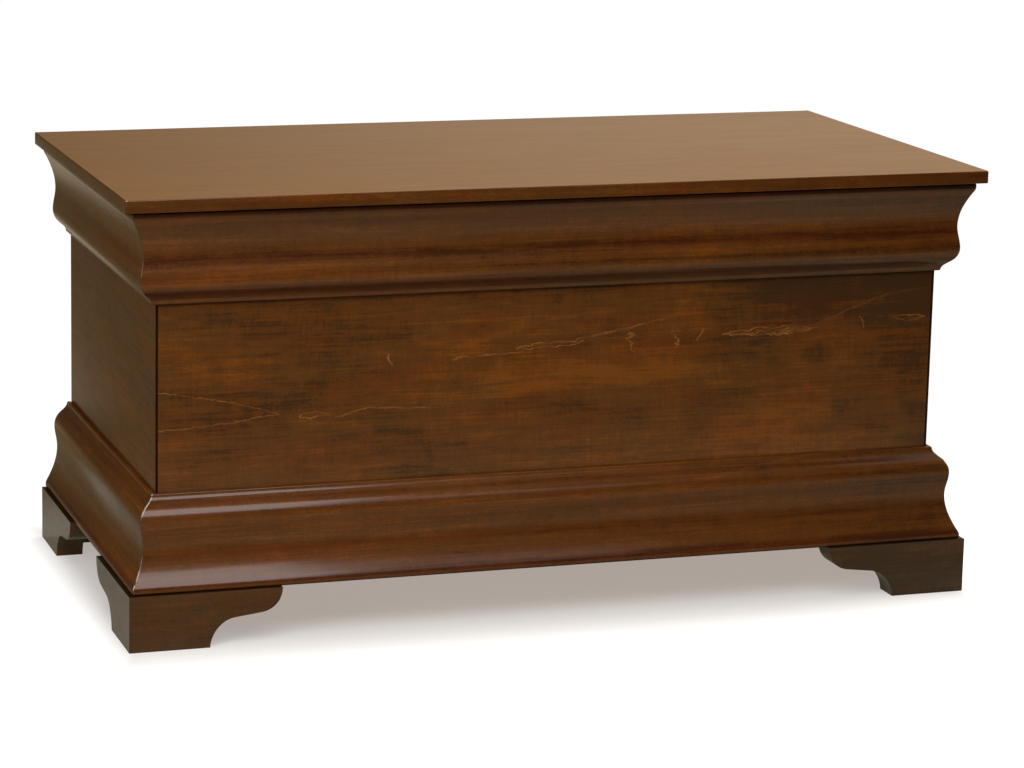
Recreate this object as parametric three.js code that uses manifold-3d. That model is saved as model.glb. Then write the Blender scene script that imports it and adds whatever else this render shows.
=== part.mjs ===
// Blanket chest: a case of mitred boards between a crown and a base moulding, on bracket feet,
// under a flat lid on three hinges. Millimetres; X along the front, Y to the back, Z up.
// The origin is on the floor under the middle of the lid.

import * as THREE from "three";
import { mergeVertices } from "three/addons/utils/BufferGeometryUtils.js";
import Module from "manifold-3d";

const wasm = await Module();
wasm.setup();

// Joints: the line left at a glued or screwed joint, and the room round a screw or a hinge pin
const glueLine = 0.3;
const screwRoom = 0.2;
const pinRoom = 0.2;
const weldTolerance = 0.0001;
const cutOverrun = 1;

// Lid, which stands past the mouldings at the front and ends and past the hinges at the back
const lidLength = 1219.2;
const lidDepth = 609.6;
const lidThickness = 17.5;
const lidCornerRadius = 2.5;
const lidEdgeEase = 1.5;
const lidPastMoulding = 11.8;
const lidPastHinge = 1.2;

// Heights of the case, from the floor up
const footHeight = 76.2;
const mouldingHeight = 127;
const panelShow = 254;

// Case boards, with the quirk run down the front board beside each corner
const boardThickness = 19.05;
const cornerEase = 2.4;
const quirkInset = 3;
const quirkWidth = 2.2;
const quirkDepth = 2.8;

// Bottom of the box and the cleats that carry it
const bottomThickness = 12.7;
const cleatSide = 19.05;
const cleatRise = 6;

// Crown and base mouldings, one profile run the two ways up
const mouldingDepth = 39;
const crownPastPin = 0.5;

// Bracket feet, the plain brackets behind them and the glue blocks in their corners
const footPastMoulding = 5.45;
const bracketLength = 208;
const footWidth = 109;
const bracketThickness = 38.1;
const backBracketLength = 150;
const backBracketThickness = 19.05;
const blockSide = 50.8;
const blockFloorGap = 6;

// Lid battens
const battenWidth = 63.5;
const battenThickness = 17.5;
const battenEndSlope = 14;
const battenInset = 178.8;
const battenFrontGap = 32;
const battenLeafGap = 30;

// Bumpers under the lid's front corners
const bumperRadius = 5;
const bumperInset = 40;

// Hinges
const hingeWidth = 76;
const hingeInset = 138.8;
const knuckleCount = 5;
const knuckleRadius = 4;
const knuckleGap = 0.4;
const pinRadius = 1.6;
const pinHeadRadius = 2.8;
const pinHeadLength = 1.2;
const leafThickness = 1.4;
const lidLeafDepth = 42;
const caseLeafDepth = 38;

// Hinge screws
const screwRadius = 1.9;
const screwLength = 14;
const screwTip = 4;
const screwPitch = 25;
const screwsPerLeaf = 3;

// Smoothness: facets of a round piece and segments of each curve in an outline
const roundSides = 16;
const screwSides = 12;
const curveSteps = 9;
const easeSteps = 2;

// The moulding's outline from the lip to the nosing: each row is one curve, its two handles
// and its end, given as shares of the moulding's depth and height.
const lipDepthShare = 0.118;
const mouldingCurveShares = [
  [[0.149, 0], [0.164, 0.006], [0.164, 0.014]],
  [[0.18, 0.054], [0.297, 0.079], [0.423, 0.113]],
  [[0.551, 0.147], [0.656, 0.2], [0.656, 0.268]],
  [[0.656, 0.362], [0.556, 0.425], [0.556, 0.52]],
  [[0.556, 0.661], [0.731, 0.783], [0.887, 0.878]],
  [[0.94, 0.91], [1, 0.93], [1, 0.965]],
];

// The bracket's sawn edge from the foot to the wing's tip: the cove, the step and the lobe,
// as shares of the wing's length and of the bracket's height.
const coveShares = [[0.006, 0.203], [0.126, 0.479], [0.343, 0.516]];
const stepShares = [0.697, 0.572];
const lobeShares = [[0.879, 0.598], [0.995, 0.761], [1, 1]];

// Where a leaf's screws stand: shares of the leaf's depth from the pin, outer ones and middle one
const outerScrewShare = 0.45;
const middleScrewShare = 0.76;

// Places worked out from the sizes above
const halfLength = lidLength / 2 - lidPastMoulding - mouldingDepth;
const frontY = lidPastMoulding + mouldingDepth - lidDepth / 2;
const backY = lidDepth / 2 - lidPastHinge - 2 * knuckleRadius - glueLine;
const footProud = mouldingDepth + footPastMoulding;
const baseTop = footHeight + mouldingHeight;
const crownBottom = baseTop + panelShow;
const crownTop = crownBottom + mouldingHeight;
const lidGap = leafThickness + 2 * glueLine;
const lidBottom = crownTop + lidGap;
const caseHeight = crownTop - footHeight;
const insideHalf = halfLength - boardThickness - glueLine;
const insideFrontY = frontY + boardThickness + glueLine;
const insideBackY = backY - boardThickness - glueLine;
const bottomZ = footHeight + cleatRise + cleatSide + glueLine;
const hingeAxis = new THREE.Vector3(
  0,
  backY + glueLine + knuckleRadius,
  lidBottom - glueLine - knuckleRadius,
);

const finishes = {
  showWood: new THREE.MeshStandardMaterial({ color: 0x4a2a16, roughness: 0.35, metalness: 0 }),
  lidWood: new THREE.MeshStandardMaterial({ color: 0x6e4a30, roughness: 0.3, metalness: 0 }),
  innerWood: new THREE.MeshStandardMaterial({ color: 0xb98a5c, roughness: 0.7, metalness: 0 }),
  brass: new THREE.MeshStandardMaterial({ color: 0x9a7a3c, roughness: 0.4, metalness: 1 }),
  steel: new THREE.MeshStandardMaterial({ color: 0x8c8880, roughness: 0.4, metalness: 1 }),
  rubber: new THREE.MeshStandardMaterial({ color: 0xb8b4a8, roughness: 0.6, metalness: 0 }),
};

const chest = new THREE.Group();
const carcase = new THREE.Group();
const lid = new THREE.Group();
lid.position.copy(hingeAxis);
chest.add(carcase, lid);

// Adds a named mesh to the case.
function addToCase(name, geometry, finish, x = 0, y = 0, z = 0) {
  const mesh = new THREE.Mesh(geometry, finishes[finish].clone());
  mesh.name = name;
  mesh.position.set(x, y, z);
  carcase.add(mesh);
  return mesh;
}

// Adds a named mesh to the lid, whose group turns about the hinge pins.
function addToLid(name, geometry, finish, x = 0, y = 0, z = 0) {
  const mesh = addToCase(name, geometry, finish, x, y, z);
  mesh.position.sub(hingeAxis);
  lid.add(mesh);
  return mesh;
}

// A closed geometry as a solid that can be cut or joined.
function solidOf(geometry) {
  const bare = geometry.clone();
  bare.deleteAttribute("normal");
  bare.deleteAttribute("uv");
  const welded = mergeVertices(bare, weldTolerance);
  const mesh = new wasm.Mesh({
    numProp: 3,
    vertProperties: welded.getAttribute("position").array,
    triVerts: new Uint32Array(welded.index.array),
  });
  return new wasm.Manifold(mesh);
}

// A solid back as a flat-shaded geometry.
function geometryOf(solid) {
  const mesh = solid.getMesh();
  const geometry = new THREE.BufferGeometry();
  geometry.setAttribute("position", new THREE.BufferAttribute(mesh.vertProperties, mesh.numProp));
  geometry.setIndex(new THREE.BufferAttribute(mesh.triVerts, 1));
  const flat = geometry.toNonIndexed();
  flat.computeVertexNormals();
  return flat;
}

// Cuts a list of geometries out of one.
function cutFrom(geometry, cutters) {
  const cut = cutters.reduce((rest, cutter) => rest.subtract(solidOf(cutter)), solidOf(geometry));
  return geometryOf(cut);
}

// A box between two corners.
function boxBetween(low, high) {
  const size = new THREE.Vector3().subVectors(high, low);
  const middle = new THREE.Vector3().addVectors(low, high).multiplyScalar(0.5);
  return new THREE.BoxGeometry(size.x, size.y, size.z).translate(middle.x, middle.y, middle.z);
}

// An outline, through the points given, as a shape.
function outline(points) {
  return new THREE.Shape(points.map(([x, y]) => new THREE.Vector2(x, y)));
}

function extrude(shape, depth) {
  return new THREE.ExtrudeGeometry(shape, { depth, bevelEnabled: false, curveSegments: curveSteps });
}

// Extrudes a shape that stands in YZ along X.
function extrudeAlongX(shape, length) {
  const toRun = new THREE.Matrix4().makeBasis(
    new THREE.Vector3(0, 1, 0),
    new THREE.Vector3(0, 0, 1),
    new THREE.Vector3(1, 0, 0),
  );
  return extrude(shape, length).applyMatrix4(toRun);
}

// Slides the vertices at one end of a run along it by their distance from the case's face,
// which makes the end a mitre. Way is 1 at the far end of the run and -1 at the near end.
function mitreEnd(geometry, endX, way) {
  const points = geometry.getAttribute("position");
  for (let i = 0; i < points.count; i += 1) {
    if (Math.abs(points.getX(i) - endX) < weldTolerance) {
      points.setX(i, endX + way * points.getY(i));
    }
  }
}

// The three faces that carry boards, mouldings and brackets. On each, local X runs along the
// face, local Y points out of the case, and mitred says which ends meet another run.
function faceRuns(backEnd) {
  const joint = glueLine / 2;
  const half = halfLength - joint;
  return {
    front: { turn: Math.PI, x: 0, y: frontY, from: -half, to: half, mitred: [true, true] },
    left: {
      turn: Math.PI / 2, x: -halfLength, y: 0, from: frontY + joint, to: backEnd, mitred: [true, false],
    },
    right: {
      turn: -Math.PI / 2, x: halfLength, y: 0, from: -backEnd, to: -frontY - joint, mitred: [false, true],
    },
  };
}

// Adds a piece that was made along a face.
function addOnFace(name, geometry, run, finish, z = 0) {
  const mesh = addToCase(name, geometry, finish, run.x, run.y, z);
  mesh.rotation.z = run.turn;
  return mesh;
}

// Case boards

// A board's end in plan, on the side of the face that way points to.
function boardEnd(endX, way, mitred) {
  if (!mitred) return [[endX, 0], [endX, -boardThickness]];
  return [
    [endX - way * cornerEase, 0],
    [endX - (way * cornerEase) / 2, -cornerEase / 2],
    [endX - way * boardThickness, -boardThickness],
  ];
}

// The V of the quirk beside a corner, from the corner inwards.
function quirk(endX, way) {
  const outer = endX - way * quirkInset;
  return [[outer, 0], [outer - (way * quirkWidth) / 2, -quirkDepth], [outer - way * quirkWidth, 0]];
}

function caseBoard(run, quirked) {
  const near = boardEnd(run.from, -1, run.mitred[0]);
  const far = boardEnd(run.to, 1, run.mitred[1]);
  const nearQuirk = quirked ? quirk(run.from, -1) : [];
  const farQuirk = quirked ? quirk(run.to, 1) : [];
  const plan = [...near.reverse(), ...nearQuirk, ...farQuirk.reverse(), ...far];
  return extrude(outline(plan), caseHeight);
}

function addCaseBoards() {
  const runs = faceRuns(backY);
  addOnFace("front_panel", caseBoard(runs.front, true), runs.front, "showWood", footHeight);
  addOnFace("left_end_panel", caseBoard(runs.left, false), runs.left, "showWood", footHeight);
  addOnFace("right_end_panel", caseBoard(runs.right, false), runs.right, "showWood", footHeight);

  const back = boxBetween(
    new THREE.Vector3(-insideHalf, backY - boardThickness, footHeight),
    new THREE.Vector3(insideHalf, backY, crownTop),
  );
  const pilots = hingePlaces().flatMap((x) => screwPilots(caseLeafDepth).map((pilot) => (
    pilot.rotateX(Math.PI / 2).translate(x, hingeAxis.y, hingeAxis.z)
  )));
  addToCase("back_panel", cutFrom(back, pilots), "showWood");
}

// Bottom of the box

function addBottom() {
  const low = new THREE.Vector3(-insideHalf, insideFrontY, bottomZ);
  const high = new THREE.Vector3(insideHalf, insideBackY, bottomZ + bottomThickness);
  addToCase("bottom_panel", boxBetween(low, high), "innerWood");

  const cleatTop = bottomZ - glueLine;
  const cleatLow = cleatTop - cleatSide;
  const long = (y) => boxBetween(
    new THREE.Vector3(-insideHalf, y, cleatLow),
    new THREE.Vector3(insideHalf, y + cleatSide, cleatTop),
  );
  const short = (x) => boxBetween(
    new THREE.Vector3(x, insideFrontY + cleatSide + glueLine, cleatLow),
    new THREE.Vector3(x + cleatSide, insideBackY - cleatSide - glueLine, cleatTop),
  );
  addToCase("bottom_cleat_front", long(insideFrontY), "innerWood");
  addToCase("bottom_cleat_back", long(insideBackY - cleatSide), "innerWood");
  addToCase("bottom_cleat_left", short(-insideHalf), "innerWood");
  addToCase("bottom_cleat_right", short(insideHalf - cleatSide), "innerWood");
}

// Mouldings

// The profile from the lip at height zero to the nosing. Way is 1 for the crown, whose nosing
// is at the top, and -1 for the base, whose nosing is at the bottom.
function mouldingShape(way) {
  const shape = new THREE.Shape();
  const height = way * mouldingHeight;
  shape.moveTo(glueLine, 0);
  shape.lineTo(lipDepthShare * mouldingDepth, 0);
  for (const curve of mouldingCurveShares) {
    const ends = curve.flatMap(([out, up]) => [out * mouldingDepth, up * height]);
    shape.bezierCurveTo(...ends);
  }
  shape.lineTo(mouldingDepth, height);
  shape.lineTo(glueLine, height);
  shape.closePath();
  return shape;
}

// A length of moulding along a face, with its mitres.
function mouldingRun(shape, run) {
  const geometry = extrudeAlongX(shape, run.to - run.from).translate(run.from, 0, 0);
  if (run.mitred[0]) mitreEnd(geometry, run.from, -1);
  if (run.mitred[1]) mitreEnd(geometry, run.to, 1);
  geometry.computeVertexNormals();
  return geometry;
}

function addMouldings() {
  const bands = [
    { name: "crown", way: 1, lipZ: crownBottom, backEnd: hingeAxis.y + crownPastPin },
    { name: "base", way: -1, lipZ: baseTop, backEnd: backY },
  ];
  for (const band of bands) {
    const shape = mouldingShape(band.way);
    for (const [side, run] of Object.entries(faceRuns(band.backEnd))) {
      const name = band.name + "_moulding_" + side;
      addOnFace(name, mouldingRun(shape, run), run, "showWood", band.lipZ);
    }
  }
}

// Feet

// A bracket's outline from its corner at zero, towards way.
function bracketShape(way) {
  const height = footHeight - glueLine;
  const wing = bracketLength - footWidth;
  const at = ([along, up]) => [way * (footWidth + along * wing), up * height];
  const shape = new THREE.Shape();
  shape.moveTo(0, 0);
  shape.lineTo(way * footWidth, 0);
  shape.bezierCurveTo(...coveShares.flatMap(at));
  shape.lineTo(...at(stepShares));
  shape.bezierCurveTo(...lobeShares.flatMap(at));
  shape.lineTo(0, height);
  shape.closePath();
  return shape;
}

// A bracket on a face, with its corner end at cornerX and its wing towards way.
function bracket(cornerX, way, mitred) {
  const geometry = extrude(bracketShape(way), bracketThickness)
    .rotateX(Math.PI / 2)
    .translate(0, footProud, 0);
  const points = geometry.getAttribute("position");
  for (let i = 0; i < points.count; i += 1) {
    const atCorner = mitred && Math.abs(points.getX(i)) < weldTolerance;
    const setBack = atCorner ? way * (footProud - points.getY(i)) : 0;
    points.setX(i, cornerX + points.getX(i) + setBack);
  }
  geometry.computeVertexNormals();
  return geometry;
}

function addFeet() {
  const runs = faceRuns(backY);
  const cornerOut = footProud - glueLine / 2;
  const frontCorner = halfLength + cornerOut;
  const sideCorner = frontY - cornerOut;
  const brackets = [
    { name: "foot_front_left_face", run: runs.front, corner: frontCorner, way: -1, mitred: true },
    { name: "foot_front_right_face", run: runs.front, corner: -frontCorner, way: 1, mitred: true },
    { name: "foot_front_left_side", run: runs.left, corner: sideCorner, way: 1, mitred: true },
    { name: "foot_front_right_side", run: runs.right, corner: -sideCorner, way: -1, mitred: true },
    { name: "foot_rear_left_side", run: runs.left, corner: backY, way: -1, mitred: false },
    { name: "foot_rear_right_side", run: runs.right, corner: -backY, way: 1, mitred: false },
  ];
  for (const { name, run, corner, way, mitred } of brackets) {
    addOnFace(name, bracket(corner, way, mitred), run, "showWood");
  }
  for (const [side, way] of [["left", -1], ["right", 1]]) {
    addToCase("foot_rear_" + side + "_back", backBracket(way), "innerWood", 0, backY);
    addFootBlock("foot_block_front_" + side, way, frontY - footProud + bracketThickness + glueLine);
    const rearBlockY = backY - backBracketThickness - glueLine - blockSide;
    addFootBlock("foot_block_rear_" + side, way, rearBlockY);
  }
}

// How far the inner faces of the side brackets stand from the middle of the chest.
function bracketInnerX() {
  return halfLength + footProud - bracketThickness - glueLine;
}

// The plain bracket behind a rear foot, sawn to a slope.
function backBracket(way) {
  const start = way * bracketInnerX();
  const height = footHeight - glueLine;
  const plan = [
    [start, 0],
    [start - way * footWidth, 0],
    [start - way * backBracketLength, height],
    [start, height],
  ];
  return extrude(outline(plan), backBracketThickness).rotateX(Math.PI / 2);
}

function addFootBlock(name, way, lowY) {
  const outerX = way * bracketInnerX();
  const innerX = outerX - way * blockSide;
  const low = new THREE.Vector3(Math.min(outerX, innerX), lowY, blockFloorGap);
  const high = new THREE.Vector3(Math.max(outerX, innerX), lowY + blockSide, footHeight - glueLine);
  addToCase(name, boxBetween(low, high), "innerWood");
}

// Lid

// The lid's outline in plan, inset by the ease that the rounded edge adds again.
function lidShape() {
  const x = lidLength / 2 - lidEdgeEase;
  const y = lidDepth / 2 - lidEdgeEase;
  const radius = lidCornerRadius - lidEdgeEase;
  const shape = new THREE.Shape();
  shape.moveTo(radius - x, -y);
  shape.lineTo(x - radius, -y);
  shape.quadraticCurveTo(x, -y, x, radius - y);
  shape.lineTo(x, y - radius);
  shape.quadraticCurveTo(x, y, x - radius, y);
  shape.lineTo(radius - x, y);
  shape.quadraticCurveTo(-x, y, -x, y - radius);
  shape.lineTo(-x, radius - y);
  shape.quadraticCurveTo(-x, -y, radius - x, -y);
  return shape;
}

function addLidPanel() {
  const slab = new THREE.ExtrudeGeometry(lidShape(), {
    depth: lidThickness - 2 * lidEdgeEase,
    bevelThickness: lidEdgeEase,
    bevelSize: lidEdgeEase,
    bevelSegments: easeSteps,
    curveSegments: easeSteps,
  }).translate(0, 0, lidBottom + lidEdgeEase);
  const pilots = hingePlaces().flatMap((x) => screwPilots(lidLeafDepth).map((pilot) => (
    pilot.translate(x, hingeAxis.y, hingeAxis.z)
  )));
  addToLid("lid_panel", cutFrom(slab, pilots), "lidWood");
}

function addBattens() {
  const top = lidBottom - glueLine;
  const back = hingeAxis.y - lidLeafDepth - battenLeafGap;
  const front = insideFrontY + battenFrontGap;
  const side = outline([
    [front, top],
    [front + battenEndSlope, top - battenThickness],
    [back - battenEndSlope, top - battenThickness],
    [back, top],
  ]);
  for (const [name, way] of [["left", -1], ["right", 1]]) {
    const lowX = way * (halfLength - battenInset) - battenWidth / 2;
    addToLid("lid_batten_" + name, extrudeAlongX(side, battenWidth), "lidWood", lowX);
  }
}

function addBumpers() {
  const height = lidGap - 2 * glueLine;
  for (const [name, way] of [["left", -1], ["right", 1]]) {
    const bumper = new THREE.CylinderGeometry(bumperRadius, bumperRadius, height, roundSides)
      .rotateX(Math.PI / 2);
    const x = way * (halfLength - bumperInset);
    const y = frontY + boardThickness / 2;
    addToCase("lid_bumper_" + name, bumper, "rubber", x, y, crownTop + glueLine + height / 2);
  }
}

// Hinges. Each is made round its pin at the origin, with its leaf towards local -Y and the
// leaf's upper face against the wood; the case leaf is the same leaf turned to hang down.

function hingePlaces() {
  return [hingeInset - halfLength, 0, halfLength - hingeInset];
}

// The span of a knuckle along the pin.
function knuckleSpan(index) {
  const pitch = hingeWidth / knuckleCount;
  const from = index * pitch - hingeWidth / 2;
  return [from, from + pitch];
}

function hingeLeaf(depth, own) {
  const ring = new THREE.Shape().absarc(0, 0, knuckleRadius, 0, 2 * Math.PI);
  ring.holes.push(new THREE.Path().absarc(0, 0, pinRadius + pinRoom, 0, 2 * Math.PI));
  const plateLow = new THREE.Vector3(-hingeWidth / 2, -depth, knuckleRadius - leafThickness);
  const plateHigh = new THREE.Vector3(hingeWidth / 2, 0, knuckleRadius);
  let leaf = solidOf(boxBetween(plateLow, plateHigh));
  const reach = knuckleRadius + knuckleGap;
  for (let index = 0; index < knuckleCount; index += 1) {
    const [from, to] = knuckleSpan(index);
    if (own(index)) {
      const knuckle = new THREE.ExtrudeGeometry(ring, {
        depth: to - from - knuckleGap, bevelEnabled: false, curveSegments: roundSides / 2,
      });
      leaf = leaf.add(solidOf(knuckle.rotateY(Math.PI / 2).translate(from + knuckleGap / 2, 0, 0)));
    } else {
      const notchLow = new THREE.Vector3(from - knuckleGap / 2, -reach, -reach);
      const notchHigh = new THREE.Vector3(to + knuckleGap / 2, reach, reach);
      leaf = leaf.subtract(solidOf(boxBetween(notchLow, notchHigh)));
    }
  }
  return cutFrom(geometryOf(leaf), screwPilots(depth));
}

// Screws

function screwHeadZ() {
  return knuckleRadius - leafThickness;
}

// The centres of a leaf's screws: the outer ones nearer the pin than the middle one.
function screwPlaces(depth) {
  const places = [];
  const middle = (screwsPerLeaf - 1) / 2;
  for (let index = 0; index < screwsPerLeaf; index += 1) {
    const share = index === middle ? middleScrewShare : outerScrewShare;
    places.push({ x: (index - middle) * screwPitch, y: -share * depth });
  }
  return places;
}

// A countersunk screw from its head at zero along local +Z. Room widens it and overrun starts
// it before its head, for the hole that it takes.
function screwGeometry(room, overrun) {
  const shank = screwRadius + room;
  const head = shank + leafThickness;
  const end = screwLength + room;
  const start = overrun > 0 ? [[0, -overrun], [head, -overrun]] : [[0, 0]];
  const profile = [...start, [head, 0], [shank, leafThickness], [shank, end - screwTip], [0, end]];
  return new THREE.LatheGeometry(profile.map(([radius, z]) => new THREE.Vector2(radius, z)), screwSides)
    .rotateX(Math.PI / 2);
}

// The holes that a leaf's screws take, in the leaf and in the wood behind it.
function screwPilots(depth) {
  return screwPlaces(depth).map(({ x, y }) => (
    screwGeometry(screwRoom, cutOverrun).translate(x, y, screwHeadZ())
  ));
}

function addHinges() {
  const names = ["left", "middle", "right"];
  const even = (index) => index % 2 === 0;
  const odd = (index) => index % 2 === 1;
  hingePlaces().forEach((x, place) => {
    const tag = names[place];
    const at = [x, hingeAxis.y, hingeAxis.z];
    addToLid("hinge_lid_leaf_" + tag, hingeLeaf(lidLeafDepth, odd), "brass", ...at);
    const caseLeaf = hingeLeaf(caseLeafDepth, even).rotateX(Math.PI / 2);
    addToCase("hinge_case_leaf_" + tag, caseLeaf, "brass", ...at);
    addToCase("hinge_pin_" + tag, hingePin(), "steel", ...at);
    screwPlaces(lidLeafDepth).forEach((spot, index) => {
      const screw = screwGeometry(0, 0).translate(spot.x, spot.y, screwHeadZ());
      addToLid("lid_screw_" + tag + "_" + (index + 1), screw, "brass", ...at);
    });
    screwPlaces(caseLeafDepth).forEach((spot, index) => {
      const screw = screwGeometry(0, 0).translate(spot.x, spot.y, screwHeadZ()).rotateX(Math.PI / 2);
      addToCase("case_screw_" + tag + "_" + (index + 1), screw, "brass", ...at);
    });
  });
}

// A pin with a low head at each end, along local X.
function hingePin() {
  const half = hingeWidth / 2 + glueLine;
  const profile = [
    [0, -half - pinHeadLength],
    [pinHeadRadius, -half - pinHeadLength],
    [pinHeadRadius, -half],
    [pinRadius, -half],
    [pinRadius, half],
    [pinHeadRadius, half],
    [pinHeadRadius, half + pinHeadLength],
    [0, half + pinHeadLength],
  ];
  return new THREE.LatheGeometry(profile.map(([radius, x]) => new THREE.Vector2(radius, x)), roundSides)
    .rotateZ(Math.PI / 2);
}

addCaseBoards();
addBottom();
addMouldings();
addFeet();
addLidPanel();
addBattens();
addBumpers();
addHinges();

export default chest;
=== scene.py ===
import math

import bmesh
import bpy
from mathutils import Matrix, Vector


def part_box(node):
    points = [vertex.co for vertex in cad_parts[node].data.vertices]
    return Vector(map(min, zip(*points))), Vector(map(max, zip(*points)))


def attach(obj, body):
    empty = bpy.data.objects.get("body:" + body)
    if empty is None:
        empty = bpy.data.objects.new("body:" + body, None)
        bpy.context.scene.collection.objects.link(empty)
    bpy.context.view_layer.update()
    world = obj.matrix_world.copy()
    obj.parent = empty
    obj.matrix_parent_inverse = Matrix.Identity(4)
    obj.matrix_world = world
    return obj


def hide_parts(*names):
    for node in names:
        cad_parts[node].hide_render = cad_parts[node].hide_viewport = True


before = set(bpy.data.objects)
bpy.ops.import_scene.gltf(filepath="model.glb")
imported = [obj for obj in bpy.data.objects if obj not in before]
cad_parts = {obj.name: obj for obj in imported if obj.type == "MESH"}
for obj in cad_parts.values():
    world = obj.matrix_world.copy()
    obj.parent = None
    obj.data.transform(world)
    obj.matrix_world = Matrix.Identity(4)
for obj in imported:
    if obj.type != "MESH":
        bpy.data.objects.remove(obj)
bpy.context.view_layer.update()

MM = 0.001

# The chest's own planes and heights, read from its solids
FRONT_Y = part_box("front_panel")[0].y
BACK_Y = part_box("back_panel")[1].y
END_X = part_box("right_end_panel")[1].x
BOARD_LOW_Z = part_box("front_panel")[0].z
BOARD_HIGH_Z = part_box("front_panel")[1].z
BOARD_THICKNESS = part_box("back_panel")[1].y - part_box("back_panel")[0].y
LID_LOW, LID_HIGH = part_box("lid_panel")

# Joint lines and eased arrises
GLUE_LINE = 0.3 * MM
MITRE_GAP = GLUE_LINE / 2
ARRIS = 0.9 * MM
ARRIS_STEPS = 3
CURVE_STEPS = 18
SMOOTH_ANGLE = math.radians(32)
FLAT_ANGLE = math.radians(1)
METAL_ANGLE = math.radians(60)
WELD_REACH = MM / 1000

# How squarely a face has to look a way to count, as a share of square
SQUARE_ON_SHARE = 0.9
FACE_ON_SHARE = 0.95
LEANING_SHARE = 0.1

# Arrises of the mouldings: where two runs meet and along the nosing
MITRE_ARRIS = 1.3 * MM
NOSING_ARRIS = 1.8 * MM

# Case boards: the rounded corner and the quirk beside it
CORNER_RADIUS = 0.5 * MM
CORNER_STEPS = 3
QUIRK_INSET = 0.6 * MM
QUIRK_WIDTH = 3 * MM
QUIRK_DEPTH = 3.4 * MM

# Lid slab
LID_CORNER_RADIUS = 2.5 * MM
LID_EDGE_EASE = 1.4 * MM
LID_CORNER_STEPS = 8
LID_EASE_STEPS = 5

# The moulding's outline from lip to nosing: two handles and the end of each curve, as shares
# of the moulding's depth and height
LIP_DEPTH_SHARE = 0.118
MOULDING_CURVE_SHARES = (
    ((0.149, 0), (0.164, 0.006), (0.164, 0.014)),
    ((0.18, 0.054), (0.297, 0.079), (0.423, 0.113)),
    ((0.551, 0.147), (0.656, 0.2), (0.656, 0.268)),
    ((0.656, 0.362), (0.556, 0.425), (0.556, 0.52)),
    ((0.556, 0.661), (0.731, 0.783), (0.887, 0.878)),
    ((0.94, 0.91), (1, 0.93), (1, 0.965)),
)

# The bracket's sawn edge from the foot to the wing's tip, as shares of the wing and the height
FOOT_WIDTH_SHARE = 109 / 208
COVE_SHARES = ((0.006, 0.203), (0.126, 0.479), (0.343, 0.516))
STEP_SHARES = (0.697, 0.572)
LOBE_SHARES = ((0.879, 0.598), (0.995, 0.761), (1, 1))

# Screw heads
SCREW_SIDES = 32
RECESS_REACH = 1.7 * MM
RECESS_HALF_WIDTH = 0.4 * MM
RECESS_DEPTH = 0.8 * MM
SHANK_SHARE = 1.9 / 3.3
POINT_SHARE = 0.1
POINT_LENGTH_SHARE = 2.9

# Arrises of the metal pieces
LEAF_ARRIS = 0.15 * MM
PIN_ARRIS = 0.2 * MM

# Camera
PICTURE_WIDTH_PX = 1024
PICTURE_HEIGHT_PX = 768
FOCAL_PX = 3286
VIEW_CENTRE_PX = (405, 285.2)
CAMERA_PLACE = (-1.5020, -4.3533, 1.3062)
CAMERA_TURN_DEG = (78.957, -0.926, -17.203)
SENSOR_WIDTH_MM = 36
VIEW_DEPTH = 100


# Curves and meshes

def bezier(start, handles, steps):
    """Points of one cubic curve after its start."""
    first, second, end = handles
    points = []
    for step in range(1, steps + 1):
        t = step / steps
        s = 1 - t
        weights = (s ** 3, 3 * s * s * t, 3 * s * t * t, t ** 3)
        corners = (start, first, second, end)
        points.append(tuple(sum(w * c[axis] for w, c in zip(weights, corners)) for axis in (0, 1)))
    return points


def arc(centre, radius, start_deg, end_deg, steps):
    """Points of an arc, ends included."""
    points = []
    for step in range(steps + 1):
        angle = math.radians(start_deg + (end_deg - start_deg) * step / steps)
        points.append((centre[0] + radius * math.cos(angle), centre[1] + radius * math.sin(angle)))
    return points


def skin_rings(mesh, rings):
    """Joins rings of vertices, one after the other, and closes both ends; gives the faces by band."""
    made = [[mesh.verts.new(point) for point in ring] for ring in rings]
    count = len(made[0])
    bands = []
    for ring, after in zip(made, made[1:]):
        band = []
        for index in range(count):
            follower = (index + 1) % count
            band.append(mesh.faces.new((ring[index], ring[follower], after[follower], after[index])))
        bands.append(band)
    mesh.faces.new(list(reversed(made[0])))
    mesh.faces.new(made[-1])
    return bands


def piece_of(name, mesh, materials):
    """A new object from a bmesh, smooth across its gentle angles."""
    bmesh.ops.recalc_face_normals(mesh, faces=mesh.faces)
    data = bpy.data.meshes.new(name)
    mesh.to_mesh(data)
    mesh.free()
    data.shade_smooth()
    data.set_sharp_from_angle(angle=SMOOTH_ANGLE)
    for material in materials:
        data.materials.append(material)
    piece = bpy.data.objects.new(name, data)
    bpy.context.scene.collection.objects.link(piece)
    return piece


def settle(piece, body, slot, *nodes):
    """Makes a piece ride on its body in the place of the nodes that it stands for."""
    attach(piece, body)
    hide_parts(*nodes)
    return piece


def ease_arrises(mesh, radius, angle=SMOOTH_ANGLE, steps=2, chosen=None, finish=-1):
    """Rounds the sharp edges of a mesh, or those of them that chosen picks, in a finish of their own."""
    edges = []
    for edge in mesh.edges:
        if len(edge.link_faces) == 2 and edge.calc_face_angle() > angle:
            if chosen is None or chosen(edge):
                edges.append(edge)
    bmesh.ops.bevel(
        mesh, geom=edges, offset=radius, offset_type="OFFSET", segments=steps, profile=0.5,
        affect="EDGES", clamp_overlap=True, material=finish,
    )


def solid_mesh(node):
    """A node's solid with its flat faces whole again."""
    mesh = bmesh.new()
    mesh.from_mesh(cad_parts[node].data)
    bmesh.ops.remove_doubles(mesh, verts=mesh.verts, dist=WELD_REACH)
    bmesh.ops.dissolve_limit(mesh, angle_limit=FLAT_ANGLE, verts=mesh.verts, edges=mesh.edges)
    return mesh


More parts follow.
